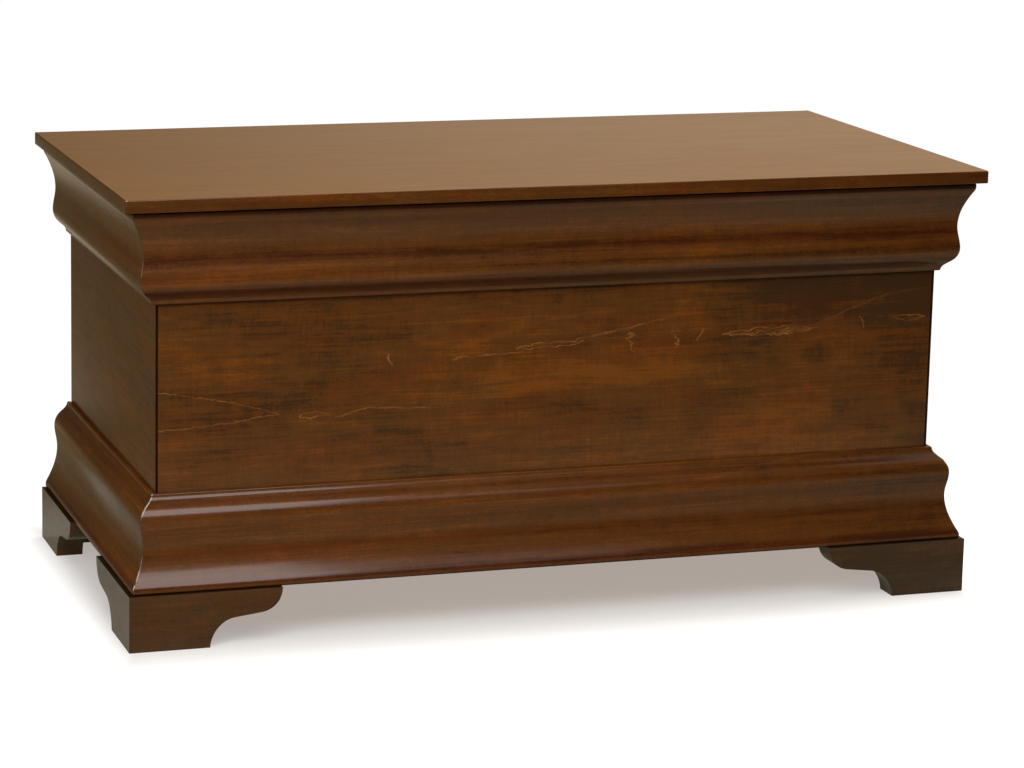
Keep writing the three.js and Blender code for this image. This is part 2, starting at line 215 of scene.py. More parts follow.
def eased_piece(name, node, body, slot, material, radius, angle=SMOOTH_ANGLE):
    """Stands for a node with the same form and softened arrises."""
    mesh = solid_mesh(node)
    ease_arrises(mesh, radius, angle)
    return settle(piece_of(name, mesh, [material]), body, slot, node)


# Shader nodes

def feed(tree, socket, value):
    """Links an output to a socket, or sets the socket to a plain value."""
    if isinstance(value, bpy.types.NodeSocket):
        tree.links.new(value, socket)
    else:
        socket.default_value = value


def add(tree, kind, settings=None, **inputs):
    """Adds a shader node; inputs are named by their sockets, with _ for a space."""
    made = tree.nodes.new("ShaderNode" + kind)
    for name, value in (settings or {}).items():
        setattr(made, name, value)
    for name, value in inputs.items():
        feed(tree, made.inputs[name.replace("_", " ")], value)
    return made


def maths(tree, operation, first, second=0.0, third=0.0, clamp=False):
    made = tree.nodes.new("ShaderNodeMath")
    made.operation = operation
    made.use_clamp = clamp
    for socket, value in zip(made.inputs, (first, second, third)):
        feed(tree, socket, value)
    return made.outputs["Value"]


def vector_maths(tree, operation, *vectors):
    made = add(tree, "VectorMath", {"operation": operation})
    for socket, vector in zip(made.inputs, vectors):
        feed(tree, socket, vector)
    return made.outputs["Vector"]


def remap(tree, value, low, high, to_low=0.0, to_high=1.0):
    """Takes a value from one range to another, smoothly and within the range."""
    made = add(
        tree, "MapRange", {"interpolation_type": "SMOOTHSTEP"},
        Value=value, From_Min=low, From_Max=high, To_Min=to_low, To_Max=to_high,
    )
    return made.outputs["Result"]


def mix_colours(tree, share, first, second, blend="MIX"):
    made = tree.nodes.new("ShaderNodeMix")
    made.data_type = "RGBA"
    made.blend_type = blend
    feed(tree, made.inputs["Factor"], share)
    feed(tree, made.inputs[6], first)
    feed(tree, made.inputs[7], second)
    return made.outputs[2]


def noise(tree, vector, scale, detail=2.0, roughness=0.5, distortion=0.0):
    """Noise whose scale may differ along each axis: marks per metre."""
    made = add(
        tree, "TexNoise", Vector=vector_maths(tree, "MULTIPLY", vector, scale), Scale=1.0, Detail=detail,
        Roughness=roughness, Distortion=distortion,
    )
    return made.outputs


SOCKETS = {"vector": "NodeSocketVector", "value": "NodeSocketFloat", "colour": "NodeSocketColor"}


def effect(name, inputs, outputs):
    """A shader node group with named sockets, and its two ends."""
    tree = bpy.data.node_groups.new(name, "ShaderNodeTree")
    for label, (kind, start) in inputs.items():
        socket = tree.interface.new_socket(label, in_out="INPUT", socket_type=SOCKETS[kind])
        socket.default_value = start
    for label, kind in outputs.items():
        tree.interface.new_socket(label, in_out="OUTPUT", socket_type=SOCKETS[kind])
    return tree, tree.nodes.new("NodeGroupInput").outputs, tree.nodes.new("NodeGroupOutput").inputs


def place(tree, group, **inputs):
    """Places a node group in a material with that material's own values."""
    made = tree.nodes.new("ShaderNodeGroup")
    made.node_tree = group
    for name, value in inputs.items():
        feed(tree, made.inputs[name.replace("_", " ")], value)
    return made.outputs


# Effects that the woods share. Their vector is in metres on the board: X along the grain, Y
# across the board's face and Z into the board.

# Each mark in the wood: marks per metre along the grain, across the face and into the board,
# then the noise's detail, roughness and distortion
MAPLE_MARKS = {
    "Cloud": ((3.2, 9, 9), 2.0, 0.5, 0.3),
    "Blotch": ((15, 34, 34), 3.0, 0.55, 0.5),
    "Mottle": ((60, 100, 100), 2.0, 0.55, 0.4),
    "Band": ((4.5, 75, 75), 3.0, 0.6, 0.3),
    "Streak": ((12, 300, 300), 3.0, 0.6, 0.0),
    "Pore": ((330, 520, 520), 2.0, 0.6, 0.0),
    "Curl": ((105, 18, 18), 2.0, 0.5, 1.2),
    "Warmth": ((7, 21, 21), 2.0, 0.5, 0.4),
}

# Noises of growth lines, figures, patches, metal and rubber: marks per metre along, across, into
RING_DRIFT = (1.5, 8, 8)
RING_RAGGEDNESS = (60, 190, 190)
RING_SHOWING = (3, 14, 14)
FIGURE_WAVER = (42, 80, 80)
FIGURE_FAINTNESS = (45, 90, 90)
PATCH_WAVER = (16, 26, 26)
BRUSH_MARKS = (150, 3500, 3500)
DULL_PATCHES = (90, 90, 90)
RUBBER_SPECKS = (700, 700, 700)

# How far a seed moves the figure and the growth lines, along and across
FIGURE_STEPS = (3.7, 1.9)
LINE_STEPS = (1.0, 2.3)


def elsewhere(tree, vector, seed, along, across):
    """The point on the board, moved to another part of the wood by a seed."""
    shift = add(tree, "CombineXYZ", X=maths(tree, "MULTIPLY", seed, along),
                Y=maths(tree, "MULTIPLY", seed, across), Z=seed)
    return vector_maths(tree, "ADD", vector, shift.outputs["Vector"])


def maple_figure():
    """Blotches of stain, fine streaks along the grain and curl across it."""
    tree, given, gives = effect(
        "maple_figure", {"Vector": ("vector", (0, 0, 0)), "Seed": ("value", 0.0)},
        {mark: "value" for mark in MAPLE_MARKS},
    )
    board = elsewhere(tree, given["Vector"], given["Seed"], *FIGURE_STEPS)
    for mark, (scale, detail, roughness, distortion) in MAPLE_MARKS.items():
        made = noise(tree, board, scale, detail, roughness, distortion)["Fac"]
        feed(tree, gives[mark], remap(tree, made, 0.25, 0.75))
    return tree


def growth_lines():
    """Thin lines where the growth rings run out of a plain-sawn face."""
    tree, given, gives = effect(
        "growth_lines",
        {"Vector": ("vector", (0, 0, 0)), "Seed": ("value", 0.0), "Rings": ("value", 5.0),
         "Line Width": ("value", 0.05)},
        {"Line": "value"},
    )
    board = elsewhere(tree, given["Vector"], given["Seed"], *LINE_STEPS)
    field = noise(tree, board, RING_DRIFT, detail=1.0, roughness=0.4, distortion=0.3)["Fac"]
    ragged = noise(tree, board, RING_RAGGEDNESS, detail=2.0)["Fac"]
    rings = maths(tree, "MULTIPLY_ADD", field, given["Rings"], maths(tree, "MULTIPLY", ragged, 0.12))
    phase = maths(tree, "ABSOLUTE", maths(tree, "SUBTRACT", maths(tree, "FRACT", rings), 0.5))
    line = remap(tree, phase, 0.0, given["Line Width"], 1.0, 0.0)
    patch = noise(tree, board, RING_SHOWING, detail=2.0)["Fac"]
    feed(tree, gives["Line"], maths(tree, "MULTIPLY", line, remap(tree, patch, 0.48, 0.66)))
    return tree


def wavering(tree, vector, scale, reach, detail, roughness):
    """The point on the board, shifted by a noise of that scale and reach."""
    waver = noise(tree, vector, scale, detail=detail, roughness=roughness)["Color"]
    centred = vector_maths(tree, "SUBTRACT", waver, (0.5, 0.5, 0.5))
    return vector_maths(tree, "MULTIPLY_ADD", centred, reach, vector)


# A figure's line: how far from its middle it begins to fade and where it is gone
FLAME_LINE_FADE = (0.1 * MM, 1 * MM)


def grain_flame():
    """One pointed figure in the grain: a thin line round a lens on the board's face."""
    tree, given, gives = effect(
        "grain_flame",
        {"Vector": ("vector", (0, 0, 0)), "Centre": ("vector", (0, 0, 0)), "Tilt": ("value", 0.0),
         "Half Length": ("value", 0.05), "Half Height": ("value", 0.01), "Waver": ("value", 0.012),
         "Strength": ("value", 1.0)},
        {"Line": "value"},
    )
    reach = add(tree, "CombineXYZ", X=given["Waver"], Y=given["Waver"], Z=0.0).outputs["Vector"]
    wavered = wavering(tree, given["Vector"], FIGURE_WAVER, reach, 4.0, 0.65)
    turned = add(tree, "VectorRotate", {"rotation_type": "Z_AXIS", "invert": True}, Angle=given["Tilt"],
                 Vector=vector_maths(tree, "SUBTRACT", wavered, given["Centre"]))
    along, across, _ = add(tree, "SeparateXYZ", Vector=turned.outputs["Vector"]).outputs
    reach = maths(tree, "DIVIDE", along, given["Half Length"])
    lens = maths(tree, "ADD", maths(tree, "DIVIDE", maths(tree, "ABSOLUTE", across), given["Half Height"]),
                 maths(tree, "SUBTRACT", maths(tree, "MULTIPLY", reach, reach), 1.0))
    gap = maths(tree, "MULTIPLY", maths(tree, "ABSOLUTE", lens), given["Half Height"])
    line = remap(tree, gap, *FLAME_LINE_FADE, 1.0, 0.0)
    inside = remap(tree, maths(tree, "ABSOLUTE", reach), 0.98, 1.12, 1.0, 0.0)
    faint = noise(tree, given["Vector"], FIGURE_FAINTNESS, detail=2.0)["Fac"]
    uneven = maths(tree, "MULTIPLY", given["Strength"], remap(tree, faint, 0.4, 0.6, 0.4, 1.0))
    feed(tree, gives["Line"], maths(tree, "MULTIPLY", maths(tree, "MULTIPLY", line, inside), uneven))
    return tree


# How far a patch's rim wavers along, across and into the board
PATCH_REACH = (0.06, 0.03, 0)


def dark_patch():
    """One soft patch on the board's face that darkens it, and lightens it where its strength is below zero.
    """
    tree, given, gives = effect(
        "dark_patch",
        {"Vector": ("vector", (0, 0, 0)), "Centre": ("vector", (0, 0, 0)),
         "Half Length": ("value", 0.05), "Half Height": ("value", 0.02), "Strength": ("value", 1.0)},
        {"Depth": "value"},
    )
    wavered = wavering(tree, given["Vector"], PATCH_WAVER, PATCH_REACH, 3.0, 0.6)
    local = vector_maths(tree, "SUBTRACT", wavered, given["Centre"])
    along, across, _ = add(tree, "SeparateXYZ", Vector=local).outputs
    reach = maths(tree, "DIVIDE", along, given["Half Length"])
    rise = maths(tree, "DIVIDE", across, given["Half Height"])
    spread = maths(tree, "ADD", maths(tree, "MULTIPLY", reach, reach), maths(tree, "MULTIPLY", rise, rise))
    feed(tree, gives["Depth"], maths(tree, "MULTIPLY", remap(tree, spread, 0.0, 1.6, 1.0, 0.0),
                                     given["Strength"]))
    return tree


# How much painted shade has to be laid on before its tint shows in full, and where it is gone
PAINTED_SHADE_FADE = (-0.5, 0.0)

# How much each mark in the wood changes how far the stain soaks in
SOAK_SHARES = {"Cloud": 0.44, "Blotch": 0.24, "Mottle": 0.15, "Band": 0.26, "Streak": 0.3, "Pore": 0.26,
               "Curl": 0.14}

# The stain's colour leans a little redder here and more olive there
REDDER_TINT = (1.08, 0.9, 0.76, 1)
OLIVE_TINT = (0.98, 1.02, 1.15, 1)


def stain_colour():
    """The stain's colour where it soaked in more and less, with the paler growth lines."""
    tree, given, gives = effect(
        "stain_colour",
        {**{mark: ("value", 0.5) for mark in MAPLE_MARKS}, "Line": ("value", 0.0),
         "Dark": ("colour", (0.03, 0.012, 0.005, 1)), "Middle": ("colour", (0.1, 0.04, 0.01, 1)),
         "Light": ("colour", (0.2, 0.07, 0.02, 1)), "Line Colour": ("colour", (0.4, 0.17, 0.05, 1))},
        {"Color": "colour", "Height": "value"},
    )
    shade = 0.5
    for mark, share in SOAK_SHARES.items():
        shade = maths(tree, "MULTIPLY_ADD", maths(tree, "SUBTRACT", given[mark], 0.5), share, shade)
    low = mix_colours(tree, remap(tree, shade, 0.1, 0.5), given["Dark"], given["Middle"])
    high = mix_colours(tree, remap(tree, shade, 0.5, 0.95), low, given["Light"])
    redder = mix_colours(tree, 1.0, high, REDDER_TINT, "MULTIPLY")
    olive = mix_colours(tree, 1.0, high, OLIVE_TINT, "MULTIPLY")
    toned = mix_colours(tree, given["Warmth"], olive, redder)
    feed(tree, gives["Color"], mix_colours(tree, given["Line"], toned, given["Line Colour"]))
    feed(tree, gives["Height"], given["Streak"])
    return tree


def metal_wear():
    """Fine brush marks along a metal piece, and patches where it has dulled."""
    tree, given, gives = effect("metal_wear", {"Vector": ("vector", (0, 0, 0))},
                                {"Brush": "value", "Dull": "value"})
    feed(tree, gives["Brush"], noise(tree, given["Vector"], BRUSH_MARKS, detail=2.0)["Fac"])
    patch = noise(tree, given["Vector"], DULL_PATCHES, detail=3.0)["Fac"]
    feed(tree, gives["Dull"], remap(tree, patch, 0.35, 0.65))
    return tree


def wiped_glaze(band, steps):
    """Painted light and shade at each height of a moulding, for its bands of sheen and shade, and where the
    shade's tint shows.
    """
    tree, given, gives = effect(band + "_glaze", {"Height": ("value", 0.0)},
                                {"Painted Light": "value", "Tint": "value"})
    low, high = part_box(band + "_moulding_front")
    lip, nosing = (low.z, high.z) if band == "crown" else (high.z, low.z)
    share = add(tree, "MapRange", Value=given["Height"], From_Min=lip, From_Max=nosing).outputs["Result"]
    ramp = add(tree, "ValToRGB", Fac=share)
    stops = ramp.color_ramp.elements
    for stop, (at, _) in zip(stops, steps):
        stop.position = at
    for at, _ in steps[len(stops):]:
        stops.new(at)
    for stop, (_, level) in zip(stops, steps):
        grey = 0.5 + level / 2
        stop.color = (grey, grey, grey, 1)
    painted_level = maths(tree, "MULTIPLY_ADD", ramp.outputs["Color"], 2.0, -1.0)
    feed(tree, gives["Painted Light"], painted_level)
    feed(tree, gives["Tint"], remap(tree, painted_level, *PAINTED_SHADE_FADE, 1.0, 0.0))
    return tree


FIGURE = maple_figure()
LINES = growth_lines()
FLAME = grain_flame()
PATCH = dark_patch()
STAIN = stain_colour()
WEAR = metal_wear()

# Figures in the front board's grain: centre along and up the board, half length, half height,
# tilt in degrees, waver and strength
FRONT_FLAMES = (
    (-0.640, 0.3170, 0.250, 0.0290, -3.4, 0.012, 0.8),
    (-0.343, 0.2970, 0.021, 0.0036, 0, 0.012, 0.9),
    (-0.290, 0.2975, 0.024, 0.0006, 14, 0.010, 0.8),
    (-0.229, 0.3010, 0.042, 0.0006, -3, 0.008, 0.5),
    (-0.238, 0.3660, 0.008, 0.0008, -70, 0.016, 0.8),
    (-0.138, 0.3650, 0.012, 0.0020, 15, 0.020, 0.9),
    (-0.090, 0.3670, 0.050, 0.0005, 2, 0.010, 0.5),
    (-0.010, 0.3770, 0.048, 0.0034, 3, 0.016, 0.9),
    (0.086, 0.3930, 0.080, 0.0008, 10, 0.012, 0.6),
    (0.106, 0.3790, 0.018, 0.0008, -72, 0.036, 0.9),
    (0.172, 0.3800, 0.014, 0.0008, -65, 0.036, 0.8),
    (0.208, 0.3800, 0.010, 0.0008, 65, 0.024, 0.7),
    (0.311, 0.3810, 0.070, 0.0046, 1, 0.018, 1.0),
    (0.315, 0.3800, 0.052, 0.0016, 2, 0.018, 0.7),
    (0.430, 0.4060, 0.062, 0.0008, 20, 0.012, 0.25),
    (0.452, 0.3880, 0.010, 0.0008, -75, 0.020, 0.5),
    (0.522, 0.3910, 0.024, 0.0035, 0, 0.016, 0.7),
)

# Patches on the front board: centre along and up the board, half length, half height and how much darker the
# board is there, below zero where it is paler
FRONT_PATCHES = (
    (0.500, 0.435, 0.260, 0.055, 1.0),
    (0.600, 0.330, 0.160, 0.180, 0.5),
    (0.381, 0.347, 0.026, 0.015, 0.6),
    (0.330, 0.338, 0.022, 0.009, 0.4),
    (0.110, 0.270, 0.030, 0.020, 0.4),
    (0.250, 0.290, 0.050, 0.012, 0.35),
    (0.424, 0.268, 0.014, 0.016, 0.45),
    (-0.530, 0.425, 0.045, 0.020, 0.25),
    (-0.440, 0.390, 0.050, 0.014, 0.15),
    (-0.020, 0.300, 0.070, 0.014, 0.45),
    (0.530, 0.290, 0.030, 0.050, 0.4),
    (-0.470, 0.355, 0.120, 0.020, -0.45),
    (-0.170, 0.375, 0.110, 0.022, -0.4),
    (-0.100, 0.420, 0.240, 0.030, -0.3),
    (-0.020, 0.330, 0.300, 0.030, -0.3),
    (0.120, 0.240, 0.300, 0.030, -0.2),
    (0.190, 0.415, 0.030, 0.020, -0.4),
)

# Painted shade: the right front foot and the right ends of the mouldings are darkened, as the light falls off
# to the right
FOOT_RIGHT_SHADE = ((0.500, 0.040, 0.200, 0.120, 0.6),)
CROWN_RIGHT_END_SHADE = ((0.560, 0.520, 0.300, 0.160, 0.3),)
BASE_RIGHT_END_SHADE = ((0.580, 0.140, 0.200, 0.160, 0.45),)

# Painted light and shade on the mouldings by height from lip to nosing, for their bands of sheen and shade:
# lighter where above zero, darker where below
CROWN_PAINTED_BANDS = (
    (0.0, 0.0), (0.05, 0.5), (0.085, 0.1), (0.12, -0.5), (0.16, 0.0), (0.21, 0.4), (0.25, 0.3),
    (0.29, -0.2), (0.32, 0.1), (0.37, 0.4), (0.41, -0.1), (0.46, -0.42), (0.51, -0.27), (0.58, 0.35),
    (0.66, 0.3), (0.76, 0.1), (0.86, -0.1), (0.9, 0.7), (0.93, -0.2), (0.95, -0.5), (1.0, 0.0),
)
BASE_PAINTED_BANDS = (
    (0.0, 0.4), (0.05, 0.1), (0.1, -0.25), (0.15, 0.3), (0.21, 0.0), (0.25, 0.3), (0.32, 0.0),
    (0.44, 0.2), (0.55, 0.1), (0.63, -0.25), (0.7, 0.05), (0.8, 0.2), (0.87, 0.1), (0.91, -0.5),
    (0.95, -0.4), (1.0, 0.0),
)

PAINTED_BANDS = {"crown": wiped_glaze("crown", CROWN_PAINTED_BANDS), "base": wiped_glaze("base", BASE_PAINTED_BANDS)}

# The axes of the room along a board's grain, across its face and into it
BOARD_AXES = {"x": ("X", "Z", "Y"), "y": ("Y", "Z", "X"), "flat": ("X", "Y", "Z"), "flat_y": ("Y", "X", "Z")}


def on_board(tree, grain, stretch=1.0):
    """The point on the board, from the axes that its grain and its face follow."""
    point = add(tree, "TexCoord").outputs["Object"]
    parts = add(tree, "SeparateXYZ", Vector=point).outputs
    along, across, into = (parts[axis] for axis in BOARD_AXES[grain])
    along = maths(tree, "DIVIDE", along, stretch)
    return add(tree, "CombineXYZ", X=along, Y=across, Z=into).outputs["Vector"]


def soaking(figure):
    """The marks that a figure group gives, by name."""
    return {mark: figure[mark] for mark in SOAK_SHARES}


def calmed(tree, mark, liveliness):
    """A mark brought nearer to its middle."""
    return maths(tree, "MULTIPLY_ADD", maths(tree, "SUBTRACT", mark, 0.5), liveliness, 0.5)


def new_material(name):
    material = bpy.data.materials.new(name)
    material.use_nodes = True
    tree = material.node_tree
    tree.nodes.clear()
    shader = tree.nodes.new("ShaderNodeBsdfPrincipled")
    out = tree.nodes.new("ShaderNodeOutputMaterial")
    tree.links.new(shader.outputs["BSDF"], out.inputs["Surface"])
    return material, tree, shader.inputs


# Stained maple: its own shine under the lacquer, its roughness and its growth rings
WOOD_SHINE = 0.1
STAINED_ROUGHNESS = (0.46, 0.54)
STAINED_RINGS = 5.0

# Stain on maple: where it soaked in most, on the whole, least, and on a growth line
MAPLE_STAIN = (
    (0.052, 0.021, 0.005), (0.107, 0.036, 0.005), (0.178, 0.055, 0.0048), (0.33, 0.125, 0.028),
)
# The lid's top and underside: paler and tanner than the rest, partly painted light for the brighter light and
# sheen on its top
LID_STAIN_AND_TOP_LIGHT = (
    (0.122, 0.06, 0.0158), (0.148, 0.07, 0.0176), (0.17, 0.079, 0.0194), (0.22, 0.105, 0.029),
)
MOULDING_STAIN = (
    (0.05, 0.0165, 0.003), (0.096, 0.031, 0.004), (0.16, 0.047, 0.004), (0.33, 0.125, 0.028),
)
# The feet: a darker stain than the case's, the darkening being painted shade low down by the floor
FOOT_STAIN_IN_SHADE = (
    (0.035, 0.0165, 0.0045), (0.066, 0.026, 0.005), (0.105, 0.037, 0.005), (0.2, 0.08, 0.02),
)
# Arrises of the feet: lighter where the stain is rubbed through, which also serves as a painted highlight
# along them
ARRIS_WEAR_AND_HIGHLIGHT = (
    (0.12, 0.072, 0.037), (0.16, 0.095, 0.05), (0.2, 0.125, 0.07), (0.22, 0.14, 0.08),
)
EDGE_STAIN = (
    (0.04, 0.016, 0.004), (0.082, 0.026, 0.0034), (0.13, 0.04, 0.0035), (0.25, 0.1, 0.02),
)
# Painted shade: near-black tones for the front board's quirk, the feet's top ledges under the base, and the
# mouldings' nosings under the lid and by the floor
PAINTED_SHADE_TONES = (
    (0.012, 0.006, 0.0025), (0.022, 0.01, 0.003), (0.035, 0.014, 0.003), (0.05, 0.02, 0.005),
)

# Bare maple: darkest, middle and palest wood and its growth lines
BARE_TONES = ((0.36, 0.2, 0.1), (0.47, 0.29, 0.155), (0.56, 0.37, 0.21), (0.3, 0.15, 0.07))
BARE_RINGS = 7.0
BARE_LINE_SHARE = 0.5
BARE_ROUGHNESS = (0.5, 0.62)

# What the painted shade does to the colour under it
PAINTED_SHADE_TINT = (0.95, 0.68, 0.42, 1)

# How high the marks can stand on stained wood, on bare wood and on metal
STAINED_RELIEF = 0.2 * MM
BARE_RELIEF = 0.3 * MM
BRUSH_RELIEF = 0.1 * MM


def lacquer(surface, coat, coat_roughness):
    """Clear lacquer over stained wood."""
    surface["Specular IOR Level"].default_value = WOOD_SHINE
    surface["Coat Weight"].default_value = coat
    surface["Coat Roughness"].default_value = coat_roughness


def raise_marks(tree, surface, height, strength, distance):
    """Lets the marks stand a little proud of the surface."""
    bump = add(tree, "Bump", Strength=strength, Distance=distance, Height=height)
    feed(tree, surface["Normal"], bump.outputs["Normal"])


def grain_lines(tree, board, seed, line_strength, flames):
    """Growth lines and the pointed figures drawn over them."""
    lines = place(tree, LINES, Vector=board, Seed=seed, Rings=STAINED_RINGS)["Line"]
    drawn = maths(tree, "MULTIPLY", lines, line_strength)
    for along, up, half_length, half_height, tilt, waver, strength in flames:
        flame = place(tree, FLAME, Vector=board, Centre=(along, up, FRONT_Y), Tilt=math.radians(tilt),
                      Half_Length=half_length, Half_Height=half_height, Waver=waver, Strength=strength)
        drawn = maths(tree, "MAXIMUM", drawn, flame["Line"])
    return drawn


def soaked_marks(tree, board, figure, liveliness, patches):
    """The marks that steer the stain, darker where a patch lies; the patches at the right ends are painted
    shade.
    """
    marks = soaking(figure)
    for mark in ("Cloud", "Blotch"):
        marks[mark] = calmed(tree, marks[mark], liveliness)
    for along, up, half_length, half_height, strength in patches:
        patch = place(tree, PATCH, Vector=board, Centre=(along, up, FRONT_Y), Half_Length=half_length,
                      Half_Height=half_height, Strength=strength)
        marks["Cloud"] = maths(tree, "SUBTRACT", marks["Cloud"], patch["Depth"])
    return marks


def stained_maple(name, grain, seed, flames=(), patches=(), stain_tones=MAPLE_STAIN, line_strength=0.1,
                  coat=0.6, coat_roughness=0.14, relief=0.08, stretch=1.0, liveliness=1.0, glaze=None):
    """Stained maple under semi-gloss lacquer."""
    material, tree, surface = new_material(name)
    board = on_board(tree, grain, stretch)
    figure = place(tree, FIGURE, Vector=board, Seed=seed)
    unstretched = on_board(tree, grain) if patches else board
    marks = soaked_marks(tree, unstretched, figure, liveliness, patches)
    # Painted light and shade by height on the mouldings, for their bands of sheen and shade
    if glaze:
        height = add(tree, "SeparateXYZ", Vector=add(tree, "TexCoord").outputs["Object"]).outputs["Z"]
        glazed = place(tree, PAINTED_BANDS[glaze], Height=height)
        marks["Cloud"] = maths(tree, "ADD", marks["Cloud"], glazed["Painted Light"])
    dark, middle, light, line_colour = ((*tone, 1) for tone in stain_tones)
    stain = place(tree, STAIN, **marks, Warmth=calmed(tree, figure["Warmth"], liveliness),
                  Line=grain_lines(tree, board, seed, line_strength, flames), Dark=dark,
                  Middle=middle, Light=light, Line_Colour=line_colour)
    colour = stain["Color"]
    # Where the painted shade is laid on, it also tints the colour darker and redder
    if glaze:
        colour = mix_colours(tree, glazed["Tint"], colour, PAINTED_SHADE_TINT, "MULTIPLY")
    feed(tree, surface["Base Color"], colour)
    feed(tree, surface["Roughness"], remap(tree, figure["Blotch"], 0.0, 1.0, *STAINED_ROUGHNESS))
    raise_marks(tree, surface, stain["Height"], relief, STAINED_RELIEF)
    lacquer(surface, coat, coat_roughness)
    return material


# The mouldings' mitres, with a painted highlight: colour in shade and in painted light, roughness from and
# to, and the lacquer's weight and roughness
ARRIS_IN_SHADE = (0.07, 0.038, 0.016, 1)
ARRIS_IN_LIGHT = (0.5, 0.44, 0.35, 1)
ARRIS_ROUGHNESS = (0.4, 0.5)
ARRIS_COAT = (0.8, 0.12)


def mitre_painted_highlight(name, seed):
    """An arris with a painted highlight in its colour where it leans upwards, broken up by the wood's mottle.
    """
    material, tree, surface = new_material(name)
    board = on_board(tree, "x")
    figure = place(tree, FIGURE, Vector=board, Seed=seed)
    upwards = add(tree, "SeparateXYZ", Vector=add(tree, "NewGeometry").outputs["Normal"]).outputs["Z"]
    highlight_breakup = remap(tree, figure["Mottle"], 0.1, 0.6)
    painted_highlight = maths(tree, "MULTIPLY", remap(tree, upwards, 0.2, 0.75), highlight_breakup)
    colour = mix_colours(tree, painted_highlight, ARRIS_IN_SHADE, ARRIS_IN_LIGHT)
    feed(tree, surface["Base Color"], colour)
    feed(tree, surface["Roughness"], remap(tree, figure["Blotch"], 0.0, 1.0, *ARRIS_ROUGHNESS))
    lacquer(surface, *ARRIS_COAT)
    return material


def bare_maple(name, grain, seed):
    """Planed maple with no stain, for what the inside and the underside show."""
    material, tree, surface = new_material(name)
    board = on_board(tree, grain)
    figure = place(tree, FIGURE, Vector=board, Seed=seed)
    lines = place(tree, LINES, Vector=board, Seed=seed, Rings=BARE_RINGS)["Line"]
    dark, middle, light, line_colour = ((*tone, 1) for tone in BARE_TONES)
    stain = place(tree, STAIN, **soaking(figure), Line=maths(tree, "MULTIPLY", lines, BARE_LINE_SHARE),
                  Dark=dark, Middle=middle, Light=light, Line_Colour=line_colour)
    feed(tree, surface["Base Color"], stain["Color"])
    feed(tree, surface["Roughness"], remap(tree, figure["Blotch"], 0.0, 1.0, *BARE_ROUGHNESS))
    raise_marks(tree, surface, stain["Height"], 0.15, BARE_RELIEF)
    return material


def brushed_metal(name, bright, dull, roughness):
    """Metal with a fine lengthwise brush and dull patches."""
    material, tree, surface = new_material(name)
    wear = place(tree, WEAR, Vector=add(tree, "TexCoord").outputs["Object"])
    feed(tree, surface["Base Color"], mix_colours(tree, wear["Dull"], bright, dull))
    feed(tree, surface["Roughness"], remap(tree, wear["Brush"], 0.2, 0.8, *roughness))
    surface["Metallic"].default_value = 1.0
    raise_marks(tree, surface, wear["Brush"], 0.1, BRUSH_RELIEF)
    return material


# Metals: the material's name, its bright and its dull colour, and its roughness from and to
METALS = {
    "brass": ("hinge_brass", (0.46, 0.32, 0.13, 1), (0.34, 0.24, 0.11, 1), (0.28, 0.46)),
    "screw": ("screw_brass", (0.24, 0.17, 0.08, 1), (0.15, 0.11, 0.06, 1), (0.24, 0.42)),
    "steel": ("pin_steel", (0.42, 0.41, 0.39, 1), (0.33, 0.32, 0.3, 1), (0.27, 0.45)),
}

# The bumpers' rubber
RUBBER_DULL = (0.42, 0.4, 0.35, 1)
RUBBER_BRIGHT = (0.55, 0.53, 0.47, 1)
RUBBER_ROUGHNESS = (0.5, 0.65)


def soft_rubber(name):
    material, tree, surface = new_material(name)
    point = add(tree, "TexCoord").outputs["Object"]
    speck = noise(tree, point, RUBBER_SPECKS, detail=3.0)["Fac"]
    feed(tree, surface["Base Color"],
         mix_colours(tree, remap(tree, speck, 0.3, 0.7), RUBBER_DULL, RUBBER_BRIGHT))
    feed(tree, surface["Roughness"], remap(tree, speck, 0.3, 0.7, *RUBBER_ROUGHNESS))
    return material


# Camera, light and floor

def add_camera():
    data = bpy.data.cameras.new("camera")
    camera = bpy.data.objects.new("camera", data)
    bpy.context.scene.collection.objects.link(camera)
    camera.location = CAMERA_PLACE
    camera.rotation_euler = [math.radians(turn) for turn in CAMERA_TURN_DEG]
    data.sensor_width = SENSOR_WIDTH_MM
    data.lens = FOCAL_PX * SENSOR_WIDTH_MM / PICTURE_WIDTH_PX
    data.shift_x = (PICTURE_WIDTH_PX / 2 - VIEW_CENTRE_PX[0]) / PICTURE_WIDTH_PX
    data.shift_y = (VIEW_CENTRE_PX[1] - PICTURE_HEIGHT_PX / 2) / PICTURE_WIDTH_PX
    data.clip_end = VIEW_DEPTH
    bpy.context.scene.camera = camera


def add_softbox(name, place_at, aim_at, width, depth, brightness, in_gloss):
    """A rectangular lamp of even brightness, unseen by the camera."""
    data = bpy.data.lights.new(name, "AREA")
    data.shape = "RECTANGLE"
    data.size = width
    data.size_y = depth
    data.energy = brightness * math.pi * width * depth
    lamp = bpy.data.objects.new(name, data)
    lamp.location = place_at
    lamp.rotation_euler = (Vector(aim_at) - Vector(place_at)).to_track_quat("-Z", "Y").to_euler()
    lamp.visible_camera = False
    lamp.visible_glossy = in_gloss
    bpy.context.scene.collection.objects.link(lamp)


